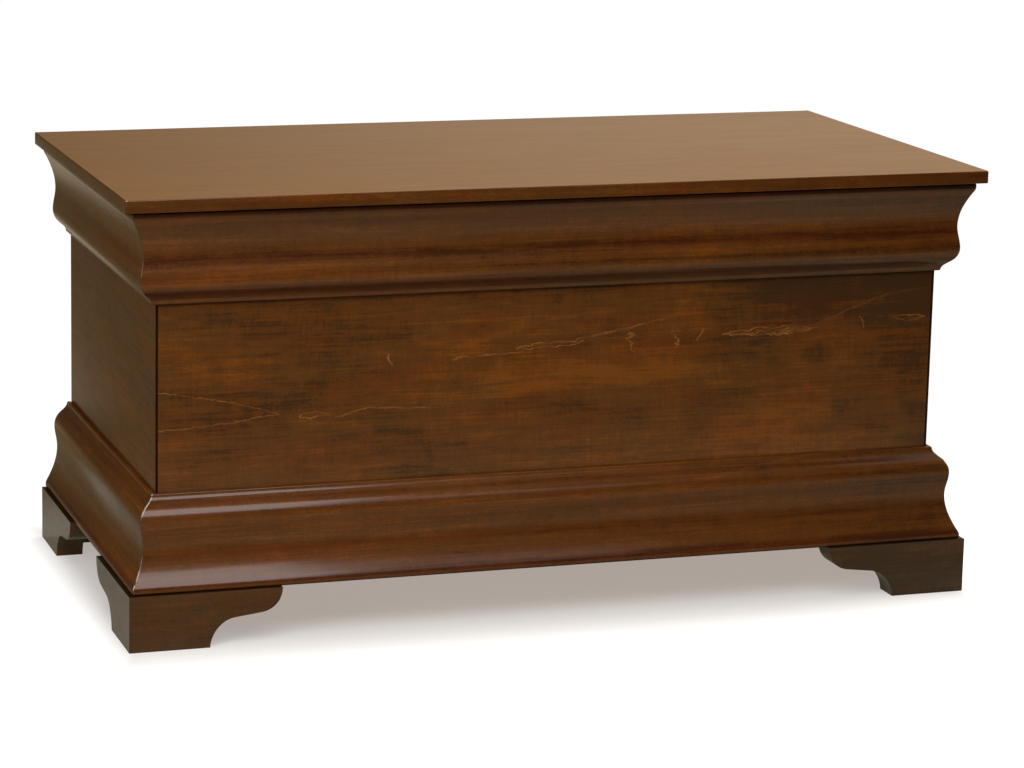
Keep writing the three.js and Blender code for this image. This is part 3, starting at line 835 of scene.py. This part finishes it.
# What gloss shows of the room behind the white: a dim share of it, or the dark wood would wash out
ROOM_IN_DIFFUSE = (0.06, 0.057, 0.05, 1)
ROOM_FRONT_IN_GLOSS = (0.012, 0.01, 0.007, 1)
ROOM_LEFT_IN_GLOSS = (0.08, 0.065, 0.04, 1)
ROOM_RIGHT_IN_GLOSS = (0.55, 0.51, 0.42, 1)
FRONT_FLOOR_IN_GLOSS = (0.012, 0.009, 0.005, 1)
FAR_FLOOR_IN_GLOSS = (0.2, 0.145, 0.07, 1)
BEHIND_IN_GLOSS = (0.6, 0.52, 0.36, 1)
NEAR_FLOOR_IN_GLOSS = (0.17, 0.17, 0.11, 1)
BEFORE_CHEST_IN_GLOSS = (0.14, 0.12, 0.075, 1)
ROOM_TURNS_RIGHT = (0.05, 0.36)
ROOM_TURNS_BACK = (-0.3, 0.0)
WHITE = (1, 1, 1, 1)
BLACK = (0, 0, 0, 1)


def seen_background(tree, in_diffuse, in_gloss, in_camera):
    """One colour for rays from the camera, one for rays off gloss and through glass, one for the rest."""
    path = add(tree, "LightPath").outputs
    gloss = maths(tree, "MAXIMUM", path["Is Glossy Ray"], path["Is Transmission Ray"])
    return mix_colours(tree, path["Is Camera Ray"], mix_colours(tree, gloss, in_diffuse, in_gloss), in_camera)


def add_world():
    world = bpy.data.worlds.new("studio")
    world.use_nodes = True
    tree = world.node_tree
    tree.nodes.clear()
    direction = add(tree, "SeparateXYZ", Vector=add(tree, "TexCoord").outputs["Generated"]).outputs
    to_right = remap(tree, direction["X"], *ROOM_TURNS_RIGHT)
    to_back = remap(tree, direction["Y"], *ROOM_TURNS_BACK)
    behind = mix_colours(tree, to_right, ROOM_LEFT_IN_GLOSS, ROOM_RIGHT_IN_GLOSS)
    in_gloss = mix_colours(tree, to_back, ROOM_FRONT_IN_GLOSS, behind)
    colour = seen_background(tree, ROOM_IN_DIFFUSE, in_gloss, WHITE)
    background = add(tree, "Background", Color=colour, Strength=1.0)
    out = tree.nodes.new("ShaderNodeOutputWorld")
    tree.links.new(background.outputs["Background"], out.inputs["Surface"])
    bpy.context.scene.world = world


# The floor's paper near the chest and far from it, as light and as gloss see it
PAPER_NEAR = (0.4, 0.385, 0.355, 1)
PAPER_FAR = (0.06, 0.052, 0.04, 1)
PAPER_NEAR_IN_GLOSS = (0.4, 0.385, 0.34, 1)
PAPER_BEFORE_IN_GLOSS = (0.4, 0.35, 0.22, 1)
PAPER_FAR_IN_GLOSS = (0.06, 0.05, 0.03, 1)

# The painted shadow that the floor glows with for the camera under the chest and just beside it
PAINTED_SHADOW_UNDER = (0.4, 0.352, 0.318, 1)
PAINTED_SHADOW_BESIDE = (0.43, 0.41, 0.4, 1)

# Where the floor's colours change: metres outside the chest's outline
UNDER_FADE = (-0.1, 0.0)
NEAR_FADE = (0.0, 0.35)
SWEEP_FADE = (0.5, 1.3)
# Where the painted shadow fades into white, along the chest and across it
CLEAR_ALONG = (-0.02, 0.058)
CLEAR_ACROSS = (-0.03, 0.16)

# Where they change on the whole floor: metres to the right and to the back of its middle
SWEEP_FRONT = (-0.6, -0.2)
SWEEP_STRENGTH = 0.8
BEFORE_FADE = (-0.5, -0.25)
FRONT_FADE = (-1.3, -0.5)
BEHIND_FROM_LEFT = (-0.95, -0.65)
BEHIND_FROM_BACK = (0.9, 1.2)
FLOOR_HALF_SIZE = 12
FLOOR_DROP = 0.2 * MM


def outside_chest(tree, point):
    """How far a point on the floor lies outside the chest's outline, along it and across."""
    half_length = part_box("base_moulding_right")[1].x
    half_width = -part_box("base_moulding_front")[0].y
    along = maths(tree, "SUBTRACT", maths(tree, "ABSOLUTE", point["X"]), half_length)
    across = maths(tree, "SUBTRACT", maths(tree, "ABSOLUTE", point["Y"]), half_width)
    return along, across


def paper_colour(tree, near, before):
    """The floor's own colour: pale near the chest, dim far from it."""
    lit = mix_colours(tree, near, PAPER_FAR, PAPER_NEAR)
    warm = mix_colours(tree, before, PAPER_NEAR_IN_GLOSS, PAPER_BEFORE_IN_GLOSS)
    lit_in_gloss = mix_colours(tree, near, PAPER_FAR_IN_GLOSS, warm)
    return seen_background(tree, lit, lit_in_gloss, lit)


def glow_colour(tree, point, along, across, near, before):
    """What the floor glows with: for the camera a painted shadow under and beside the chest, fading to white
    outside it; the dim room for gloss.
    """
    beside = maths(tree, "MAXIMUM", along, across)
    painted_shadow = mix_colours(tree, remap(tree, beside, *UNDER_FADE), PAINTED_SHADOW_UNDER, PAINTED_SHADOW_BESIDE)
    clear = maths(tree, "MAXIMUM", remap(tree, along, *CLEAR_ALONG), remap(tree, across, *CLEAR_ACROSS))
    white = mix_colours(tree, clear, painted_shadow, WHITE)
    behind = maths(tree, "MULTIPLY", remap(tree, point["X"], *BEHIND_FROM_LEFT),
                   remap(tree, point["Y"], *BEHIND_FROM_BACK))
    far = mix_colours(tree, behind, FAR_FLOOR_IN_GLOSS, BEHIND_IN_GLOSS)
    far = mix_colours(tree, remap(tree, point["Y"], *FRONT_FADE), FRONT_FLOOR_IN_GLOSS, far)
    close = mix_colours(tree, before, NEAR_FLOOR_IN_GLOSS, BEFORE_CHEST_IN_GLOSS)
    return seen_background(tree, BLACK, mix_colours(tree, near, far, close), white)


def add_floor():
    """White paper with a painted shadow round the chest, which the camera sees fade into the white behind,
    and that is clear from below.
    """
    mesh = bmesh.new()
    bmesh.ops.create_grid(mesh, x_segments=1, y_segments=1, size=FLOOR_HALF_SIZE)
    bmesh.ops.translate(mesh, verts=mesh.verts, vec=(0, 0, -FLOOR_DROP))
    material = bpy.data.materials.new("pale_floor")
    material.use_nodes = True
    tree = material.node_tree
    tree.nodes.clear()
    point = add(tree, "SeparateXYZ", Vector=add(tree, "TexCoord").outputs["Object"]).outputs
    along, across = outside_chest(tree, point)
    beside = maths(tree, "MAXIMUM", along, across)
    sweep = maths(tree, "MULTIPLY", remap(tree, point["Y"], *SWEEP_FRONT, SWEEP_STRENGTH, 0.0),
                  remap(tree, beside, *SWEEP_FADE, 1.0, 0.0))
    near = maths(tree, "MAXIMUM", remap(tree, beside, *NEAR_FADE, 1.0, 0.0), sweep)
    before = remap(tree, point["Y"], *BEFORE_FADE, 1.0, 0.0)
    paper = add(tree, "BsdfDiffuse", Color=paper_colour(tree, near, before))
    glow = add(tree, "Emission", Color=glow_colour(tree, point, along, across, near, before), Strength=1.0)
    both = add(tree, "AddShader")
    feed(tree, both.inputs[0], paper.outputs["BSDF"])
    feed(tree, both.inputs[1], glow.outputs["Emission"])
    one_way = add(tree, "MixShader", Fac=add(tree, "NewGeometry").outputs["Backfacing"])
    feed(tree, one_way.inputs[1], both.outputs["Shader"])
    feed(tree, one_way.inputs[2], add(tree, "BsdfTransparent").outputs["BSDF"])
    out = tree.nodes.new("ShaderNodeOutputMaterial")
    feed(tree, out.inputs["Surface"], one_way.outputs["Shader"])
    piece_of("floor", mesh, [material])


# Lamps: name, place, what they point at, width, depth, brightness and whether gloss shows them
LAMPS = (
    ("key", (-0.8, -1.95, 2.4), (-0.2, -0.2, 0.3), 1.9, 1.9, 5.1, True),
    ("front_right", (0.75, -2.6, 2.5), (0.2, -0.2, 0.2), 1.5, 0.9, 0.8, True),
    ("overhead", (1.1, 0.5, 2.6), (0.45, 0, 0.5), 2.0, 2.0, 6.6, False),
    ("side", (-2.7, -2.1, 1.6), (-0.5, 0, 0.3), 1.2, 2.0, 5.0, True),
)


def add_studio():
    bpy.context.scene.view_settings.view_transform = "Standard"
    add_camera()
    add_world()
    add_floor()
    for lamp in LAMPS:
        add_softbox(*lamp)


# Faces of the case that carry boards, mouldings and brackets

FACES = {
    "front": {"origin": Vector((0, FRONT_Y, 0)), "along": Vector((1, 0, 0)), "out": Vector((0, -1, 0))},
    "left": {"origin": Vector((-END_X, 0, 0)), "along": Vector((0, 1, 0)), "out": Vector((-1, 0, 0))},
    "right": {"origin": Vector((END_X, 0, 0)), "along": Vector((0, 1, 0)), "out": Vector((1, 0, 0))},
}
UP = Vector((0, 0, 1))


def on_face(face, along, out, up):
    return face["origin"] + face["along"] * along + face["out"] * out + UP * up


def reaches_out(face, low, high):
    """How far out from a face the two corners of a box lie."""
    return [(corner - face["origin"]).dot(face["out"]) for corner in (low, high)]


def run_of(side, back_end):
    """The ends of a run along a face, and which of them are mitred."""
    if side == "front":
        return (-END_X, True), (END_X, True)
    return (FRONT_Y, True), (back_end, False)


# Mouldings

def moulding_outline(depth, height):
    """The profile as (out, up) from the lip at zero to the nosing."""
    gap = GLUE_LINE
    points = arc((gap + ARRIS, ARRIS), ARRIS, 180, 270, ARRIS_STEPS)
    points.append((LIP_DEPTH_SHARE * depth, 0))
    for handles in MOULDING_CURVE_SHARES:
        scaled = [(out * depth, up * height) for out, up in handles]
        points += bezier(points[-1], scaled, CURVE_STEPS)
    points += arc((depth - NOSING_ARRIS, height - NOSING_ARRIS), NOSING_ARRIS, 0, 90, ARRIS_STEPS)
    points.append((gap, height))
    return points


def inward(points, index):
    """The inward normal of an outline at one of its points."""
    before = Vector(points[index - 1])
    after = Vector(points[(index + 1) % len(points)])
    step = (after - before).normalized()
    return Vector((-step.y, step.x))


def stations_along(side, back_end):
    """Where a run's rings stand: an end, its direction, whether it is mitred, and how far back and in."""
    stations = []
    for (end, mitred), direction in zip(run_of(side, back_end), (-1, 1)):
        group = [] if mitred else [(0.0, 0.0)]
        for step in range(ARRIS_STEPS + 1 if mitred else 0):
            angle = math.radians(90 * (1 - step / ARRIS_STEPS))
            back = MITRE_ARRIS * (1 - math.sin(angle)) + MITRE_GAP
            group.append((back, MITRE_ARRIS * (1 - math.cos(angle))))
        ordered = group if direction < 0 else reversed(group)
        stations += [(end, direction, mitred, back, inset) for back, inset in ordered]
    return stations


def moulding(name, node, side, lip_z, way, back_end, materials):
    """A run of moulding with eased mitres. Way is 1 where the nosing is up and -1 where it is down."""
    low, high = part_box(node)
    face = FACES[side]
    depth = max(reaches_out(face, low, high))
    outline = moulding_outline(depth, high.z - low.z)
    visible = range(1, len(outline) - 1)
    rings = []
    for end, direction, mitred, back, inset in stations_along(side, back_end):
        ring = []
        for index, (out, up) in enumerate(outline):
            shift = inward(outline, index) * inset if index in visible else Vector((0, 0))
            reach = end + direction * ((out if mitred else 0) - back)
            ring.append(on_face(face, reach, out + shift.x, lip_z + way * (up + shift.y)))
        rings.append(ring)
    mesh = bmesh.new()
    bands = skin_rings(mesh, rings)
    (_, near_mitred), (_, far_mitred) = run_of(side, back_end)
    # The mitres' arrises take the painted highlight
    arris_bands = bands[:ARRIS_STEPS] if near_mitred else []
    arris_bands += bands[-ARRIS_STEPS:] if far_mitred else []
    for band in arris_bands:
        for strip in band:
            strip.material_index = 1
    # The nosing's arris and flat take the painted shade: under the lid on the crown, by the floor on the base
    painted_shade_from = len(outline) - ARRIS_STEPS - 2
    for band in bands:
        for strip in band[painted_shade_from:-1]:
            strip.material_index = 2
    return settle(piece_of(name, mesh, materials), "case", "case_wood", node)


def add_mouldings(materials):
    for band, way in (("crown", 1), ("base", -1)):
        for side in FACES:
            node = band + "_moulding_" + side
            low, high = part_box(node)
            lip_z = low.z if way > 0 else high.z
            grain = "along_" + side
            moulding(band + "_run_" + side, node, side, lip_z, way, high.y,
                     [materials[band][grain], materials["mitre"], materials["joint"][grain]])


# Feet

def bracket_outline(length, height):
    """The bracket from its corner at zero along the floor, up its sawn edge and back along the top."""
    foot = FOOT_WIDTH_SHARE * length
    wing = length - foot
    cove = [(foot + along * wing, up * height) for along, up in COVE_SHARES]
    step = (foot + STEP_SHARES[0] * wing, STEP_SHARES[1] * height)
    lobe = [(foot + along * wing, up * height) for along, up in LOBE_SHARES]
    points = [(0, 0), (foot, 0)]
    points += bezier(points[-1], cove, CURVE_STEPS)
    points.append(step)
    points += bezier(step, lobe, CURVE_STEPS)
    points.append((0, height))
    return points


def bracket(name, node, side, corner, way, mitred, materials):
    """A sawn bracket on a face: corner is where it starts and way is where its wing points."""
    low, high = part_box(node)
    face = FACES[side]
    length = (high - low).dot(face["along"])
    behind, proud = sorted(reaches_out(face, low, high))
    rings = []
    for out in (proud, behind):
        ring = []
        for along, up in bracket_outline(length, high.z - low.z):
            set_back = proud - out if mitred and along == 0 else 0
            ring.append(on_face(face, corner + way * (along + set_back), out, low.z + up))
        rings.append(ring)
    mesh = bmesh.new()
    skin_rings(mesh, rings)
    # The feet's eased arrises take the lighter rubbed finish, partly a painted highlight
    ease_arrises(mesh, ARRIS, finish=1)
    piece = piece_of(name, mesh, [materials["foot"]["along_" + side], materials["arris"],
                                  materials["joint"]["along_" + side]])
    # The foot's top ledge, under the base moulding, takes the painted shade
    for polygon in piece.data.polygons:
        if polygon.normal.z > SQUARE_ON_SHARE:
            polygon.material_index = 2
    return settle(piece, "case", "case_wood", node)


def add_feet(materials):
    for side, way in (("left", 1), ("right", -1)):
        node = "foot_front_" + side + "_face"
        low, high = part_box(node)
        corner = low.x if way > 0 else high.x
        bracket("front_foot_face_" + side, node, "front", corner, way, True, materials)
        for place_name, far in (("front", False), ("rear", True)):
            node = "foot_" + place_name + "_" + side + "_side"
            low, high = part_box(node)
            corner = high.y if far else low.y
            wing_way = -1 if far else 1
            bracket(place_name + "_foot_side_" + side, node, side, corner, wing_way, not far, materials)
        eased_piece("rear_foot_back_" + side, "foot_rear_" + side + "_back", "case", "inner_wood",
                    materials["bare"]["along_front"], ARRIS)
        for place_name in ("front", "rear"):
            eased_piece(place_name + "_glue_block_" + side, "foot_block_" + place_name + "_" + side, "case",
                        "inner_wood", materials["bare"]["along_front"], ARRIS)


# Case boards

def corner_arc(end, way):
    """Half of the rounded corner in plan, from the mitre to the face."""
    turn = arc((0, CORNER_RADIUS), CORNER_RADIUS, 225, 270, CORNER_STEPS)
    return [(end - way * (CORNER_RADIUS + x), y) for x, y in turn]


def quirk(end, way):
    outer = end - way * QUIRK_INSET
    return [(outer, 0), (outer - way * QUIRK_WIDTH / 2, QUIRK_DEPTH), (outer - way * QUIRK_WIDTH, 0)]


def board_end(end, way, mitred, quirked):
    """One end of a board in plan as (along, depth), from the inner face to the outer one."""
    if not mitred:
        return [(end, BOARD_THICKNESS), (end, 0)]
    end -= way * MITRE_GAP
    turn = corner_arc(end, way)
    inner = [(end - way * BOARD_THICKNESS, BOARD_THICKNESS)]
    return inner + turn + (quirk(end, way) if quirked else [])


def case_board(name, node, side, back_end, quirked, materials):
    """A mitred board of the case in its outer and its inner finish, with painted shade in its quirk."""
    face = FACES[side]
    (near, near_mitred), (far, far_mitred) = run_of(side, back_end)
    plan = board_end(near, -1, near_mitred, quirked) + list(reversed(board_end(far, 1, far_mitred, quirked)))
    rings = []
    for height in (BOARD_LOW_Z, BOARD_HIGH_Z):
        rings.append([on_face(face, along, -depth, height) for along, depth in plan])
    mesh = bmesh.new()
    skin_rings(mesh, rings)
    top = BOARD_HIGH_Z - GLUE_LINE
    ease_arrises(mesh, ARRIS / 2, chosen=lambda edge: all(vert.co.z > top for vert in edge.verts))
    for polygon in mesh.faces:
        polygon.normal_update()
    piece = piece_of(name, mesh, materials)
    # Inner faces take the bare wood; the quirk's walls take the painted shade
    for polygon in piece.data.polygons:
        facing = polygon.normal.dot(face["out"])
        if facing < -SQUARE_ON_SHARE:
            polygon.material_index = 1
        elif quirked and facing < FACE_ON_SHARE and abs(polygon.normal.z) < LEANING_SHARE:
            polygon.material_index = 2
    return settle(piece, "case", "case_wood", node)


def add_case(materials):
    bare, joint = materials["bare"]["along_front"], materials["joint"]["along_front"]
    case_board("front_board", "front_panel", "front", None, True, [materials["front_board"], bare, joint])
    for side in ("left", "right"):
        case_board("end_board_" + side, side + "_end_panel", side, BACK_Y, False,
                   [materials["board"]["along_" + side], materials["bare"]["along_" + side]])
    mesh = bmesh.new()
    low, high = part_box("back_panel")
    spread = Matrix.Diagonal((*(high - low), 1))
    bmesh.ops.create_cube(mesh, size=1, matrix=Matrix.Translation((low + high) / 2) @ spread)
    ease_arrises(mesh, ARRIS / 2)
    back = piece_of("back_board", mesh, [materials["board"]["along_front"], materials["bare"]["along_front"]])
    for polygon in back.data.polygons:
        if polygon.normal.y < -SQUARE_ON_SHARE:
            polygon.material_index = 1
    settle(back, "case", "case_wood", "back_panel")
    eased_piece("bottom_board", "bottom_panel", "case", "inner_wood", materials["bare"]["flat"], ARRIS / 2)
    for side in ("front", "back"):
        eased_piece("cleat_" + side, "bottom_cleat_" + side, "case", "inner_wood",
                    materials["bare"]["along_front"], ARRIS)
    for side in ("left", "right"):
        eased_piece("cleat_" + side, "bottom_cleat_" + side, "case", "inner_wood",
                    materials["bare"]["along_" + side], ARRIS)


# Lid

def rounded_rectangle(half_x, half_y, radius):
    points = []
    for sign_x, sign_y, start in ((1, 1, 0), (-1, 1, 90), (-1, -1, 180), (1, -1, 270)):
        centre = (sign_x * (half_x - radius), sign_y * (half_y - radius))
        points += arc(centre, radius, start, start + 90, LID_CORNER_STEPS)
    return points


def add_lid(materials):
    middle = (LID_LOW + LID_HIGH) / 2
    half = (LID_HIGH - LID_LOW) / 2
    levels = []
    for step in range(LID_EASE_STEPS + 1):
        angle = math.radians(90 * step / LID_EASE_STEPS)
        levels.append((LID_EDGE_EASE * (1 - math.sin(angle)), LID_EDGE_EASE * (1 - math.cos(angle))))
    rings = []
    for inset, rise in levels + [(inset, 2 * half.z - rise) for inset, rise in reversed(levels)]:
        outline = rounded_rectangle(half.x - inset, half.y - inset, LID_CORNER_RADIUS - inset)
        rings.append([(middle.x + x, middle.y + y, LID_LOW.z + rise) for x, y in outline])
    mesh = bmesh.new()
    skin_rings(mesh, rings)
    slab = piece_of("lid_slab", mesh, [materials["lid"], materials["lid_edge"], materials["mitre"]])
    for polygon in slab.data.polygons:
        upright = polygon.normal.z
        aside = (half.x - abs(polygon.center.x), half.y - abs(polygon.center.y))
        # Corner faces that lean upwards take the mitres' painted highlight, a bright dot at each corner
        highlit_corner = upright > LEANING_SHARE and max(aside) < LID_CORNER_RADIUS
        # Upright faces keep the lid's paler finish, partly painted light; the others are the edge
        if abs(upright) < SQUARE_ON_SHARE:
            polygon.material_index = 2 if highlit_corner else 1
    settle(slab, "lid", "lid_wood", "lid_panel")
    for side in ("left", "right"):
        eased_piece("batten_" + side, "lid_batten_" + side, "lid", "lid_wood",
                    materials["board"]["flat_y"], ARRIS)
        eased_piece("bumper_" + side, "lid_bumper_" + side, "case", "bumper_rubber", materials["rubber"],
                    ARRIS / 3)


# Hinges and their screws

HINGES = ("left", "middle", "right")
SCREWS = (1, 2, 3)


def recess_outline():
    """The cross recess in a screw's head, from one arm round to the next."""
    far, near = RECESS_REACH, RECESS_HALF_WIDTH
    points = []
    for across, up in ((1, 0), (0, 1), (-1, 0), (0, -1)):
        for x, y in ((far, -near), (far, near), (near, near)):
            points.append((x * across - y * up, x * up + y * across))
    return points


def screw(name, node, body, head_direction, material):
    """A countersunk screw with a cross recess, its head flush in the leaf."""
    low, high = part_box(node)
    middle = (low + high) / 2
    out = Vector(head_direction)
    length = abs((high - low).dot(out))
    head = max(side for side, way in zip(high - low, out) if not way) / 2
    head_centre = middle + out * length / 2
    turn = out.to_track_quat("Z", "Y").to_matrix().to_4x4()
    stand = Matrix.Translation(head_centre) @ turn
    mesh = bmesh.new()
    ring = arc((0, 0), head, 0, 360, SCREW_SIDES)[:-1]
    cross = recess_outline()
    outer = [mesh.verts.new((x, y, 0)) for x, y in ring]
    inner = [mesh.verts.new((x, y, 0)) for x, y in cross]
    floor = [mesh.verts.new((x, y, -RECESS_DEPTH)) for x, y in cross]
    neck = head * (1 - SHANK_SHARE)
    point_from = neck * POINT_LENGTH_SHARE - length
    levels = [(SHANK_SHARE, -neck), (SHANK_SHARE, point_from), (POINT_SHARE, -length)]
    rings = [[mesh.verts.new((x * share, y * share, z)) for x, y in ring] for share, z in levels]
    edges = []
    for loop in (outer, inner):
        for first, second in zip(loop, loop[1:] + loop[:1]):
            edges.append(mesh.edges.new((first, second)))
    bmesh.ops.triangle_fill(mesh, edges=edges, use_beauty=True)
    for upper, lower in ((outer, rings[0]), (rings[0], rings[1]), (rings[1], rings[2]), (inner, floor)):
        count = len(upper)
        for k in range(count):
            after = (k + 1) % count
            mesh.faces.new((upper[k], upper[after], lower[after], lower[k]))
    mesh.faces.new(floor)
    mesh.faces.new(rings[2])
    mesh.transform(stand)
    return settle(piece_of(name, mesh, [material]), body, "screw_brass", node)


def add_hinges(materials):
    for place_name in HINGES:
        eased_piece("lid_leaf_" + place_name, "hinge_lid_leaf_" + place_name, "lid", "hinge_brass",
                    materials["brass"], LEAF_ARRIS, METAL_ANGLE)
        eased_piece("case_leaf_" + place_name, "hinge_case_leaf_" + place_name, "case", "hinge_brass",
                    materials["brass"], LEAF_ARRIS, METAL_ANGLE)
        eased_piece("pin_" + place_name, "hinge_pin_" + place_name, "case", "pin_steel",
                    materials["steel"], PIN_ARRIS, METAL_ANGLE)
        for number in SCREWS:
            tag = "_" + place_name + "_" + str(number)
            screw("lid_screw_head" + tag, "lid_screw" + tag, "lid", (0, 0, -1), materials["screw"])
            screw("case_screw_head" + tag, "case_screw" + tag, "case", (0, 1, 0), materials["screw"])


def grain_ways(make, name, seed, **values):
    """One wood for each way that its boards can run."""
    return {
        "along_front": make(name + "_front", "x", seed, **values),
        "along_left": make(name + "_left", "y", seed + 1.3, **values),
        "along_right": make(name + "_right", "y", seed + 2.6, **values),
    }


def make_finishes():
    moulding_wood = {"stain_tones": MOULDING_STAIN, "coat_roughness": 0.17, "relief": 0.22, "stretch": 1.8,
                     "liveliness": 0.6}
    finishes = {
        "front_board": stained_maple("front_board_maple", "x", 4.2, flames=FRONT_FLAMES,
                                     patches=FRONT_PATCHES, line_strength=0.08),
        "lid": stained_maple("lid_top_stain_and_light_maple", "flat", 9.4, stain_tones=LID_STAIN_AND_TOP_LIGHT, coat=0.5, coat_roughness=0.3,
                             stretch=2.0, liveliness=0.4),
        "lid_edge": stained_maple("lid_edge_maple", "x", 15.1, stain_tones=EDGE_STAIN, stretch=1.6),
        "board": grain_ways(stained_maple, "board_maple", 12.0, coat=0.35, liveliness=0.5),
        "crown": grain_ways(stained_maple, "crown_maple", 20.5, patches=CROWN_RIGHT_END_SHADE,
                            glaze="crown", **moulding_wood),
        "base": grain_ways(stained_maple, "base_maple", 31.7, patches=BASE_RIGHT_END_SHADE,
                           glaze="base", **moulding_wood),
        "arris": stained_maple("rubbed_and_highlit_arris_maple", "x", 25.3, stain_tones=ARRIS_WEAR_AND_HIGHLIGHT),
        "mitre": mitre_painted_highlight("mitre_painted_highlight_maple", 26.4),
        "foot": grain_ways(stained_maple, "foot_maple", 43.1, patches=FOOT_RIGHT_SHADE, stain_tones=FOOT_STAIN_IN_SHADE),
        # Painted shade for the quirk, the feet's ledges and the nosings
        "joint": grain_ways(stained_maple, "joint_maple", 47.8, stain_tones=PAINTED_SHADE_TONES, coat=0.15),
        "bare": grain_ways(bare_maple, "bare_maple", 52.9),
        **{metal: brushed_metal(*values) for metal, values in METALS.items()},
        "rubber": soft_rubber("bumper_rubber"),
    }
    finishes["bare"]["flat"] = bare_maple("bare_maple_flat", "flat", 61.2)
    finishes["board"]["flat_y"] = stained_maple("batten_maple", "flat_y", 70.4)
    return finishes


add_studio()
finishes = make_finishes()
add_lid(finishes)
add_case(finishes)
add_mouldings(finishes)
add_feet(finishes)
add_hinges(finishes)
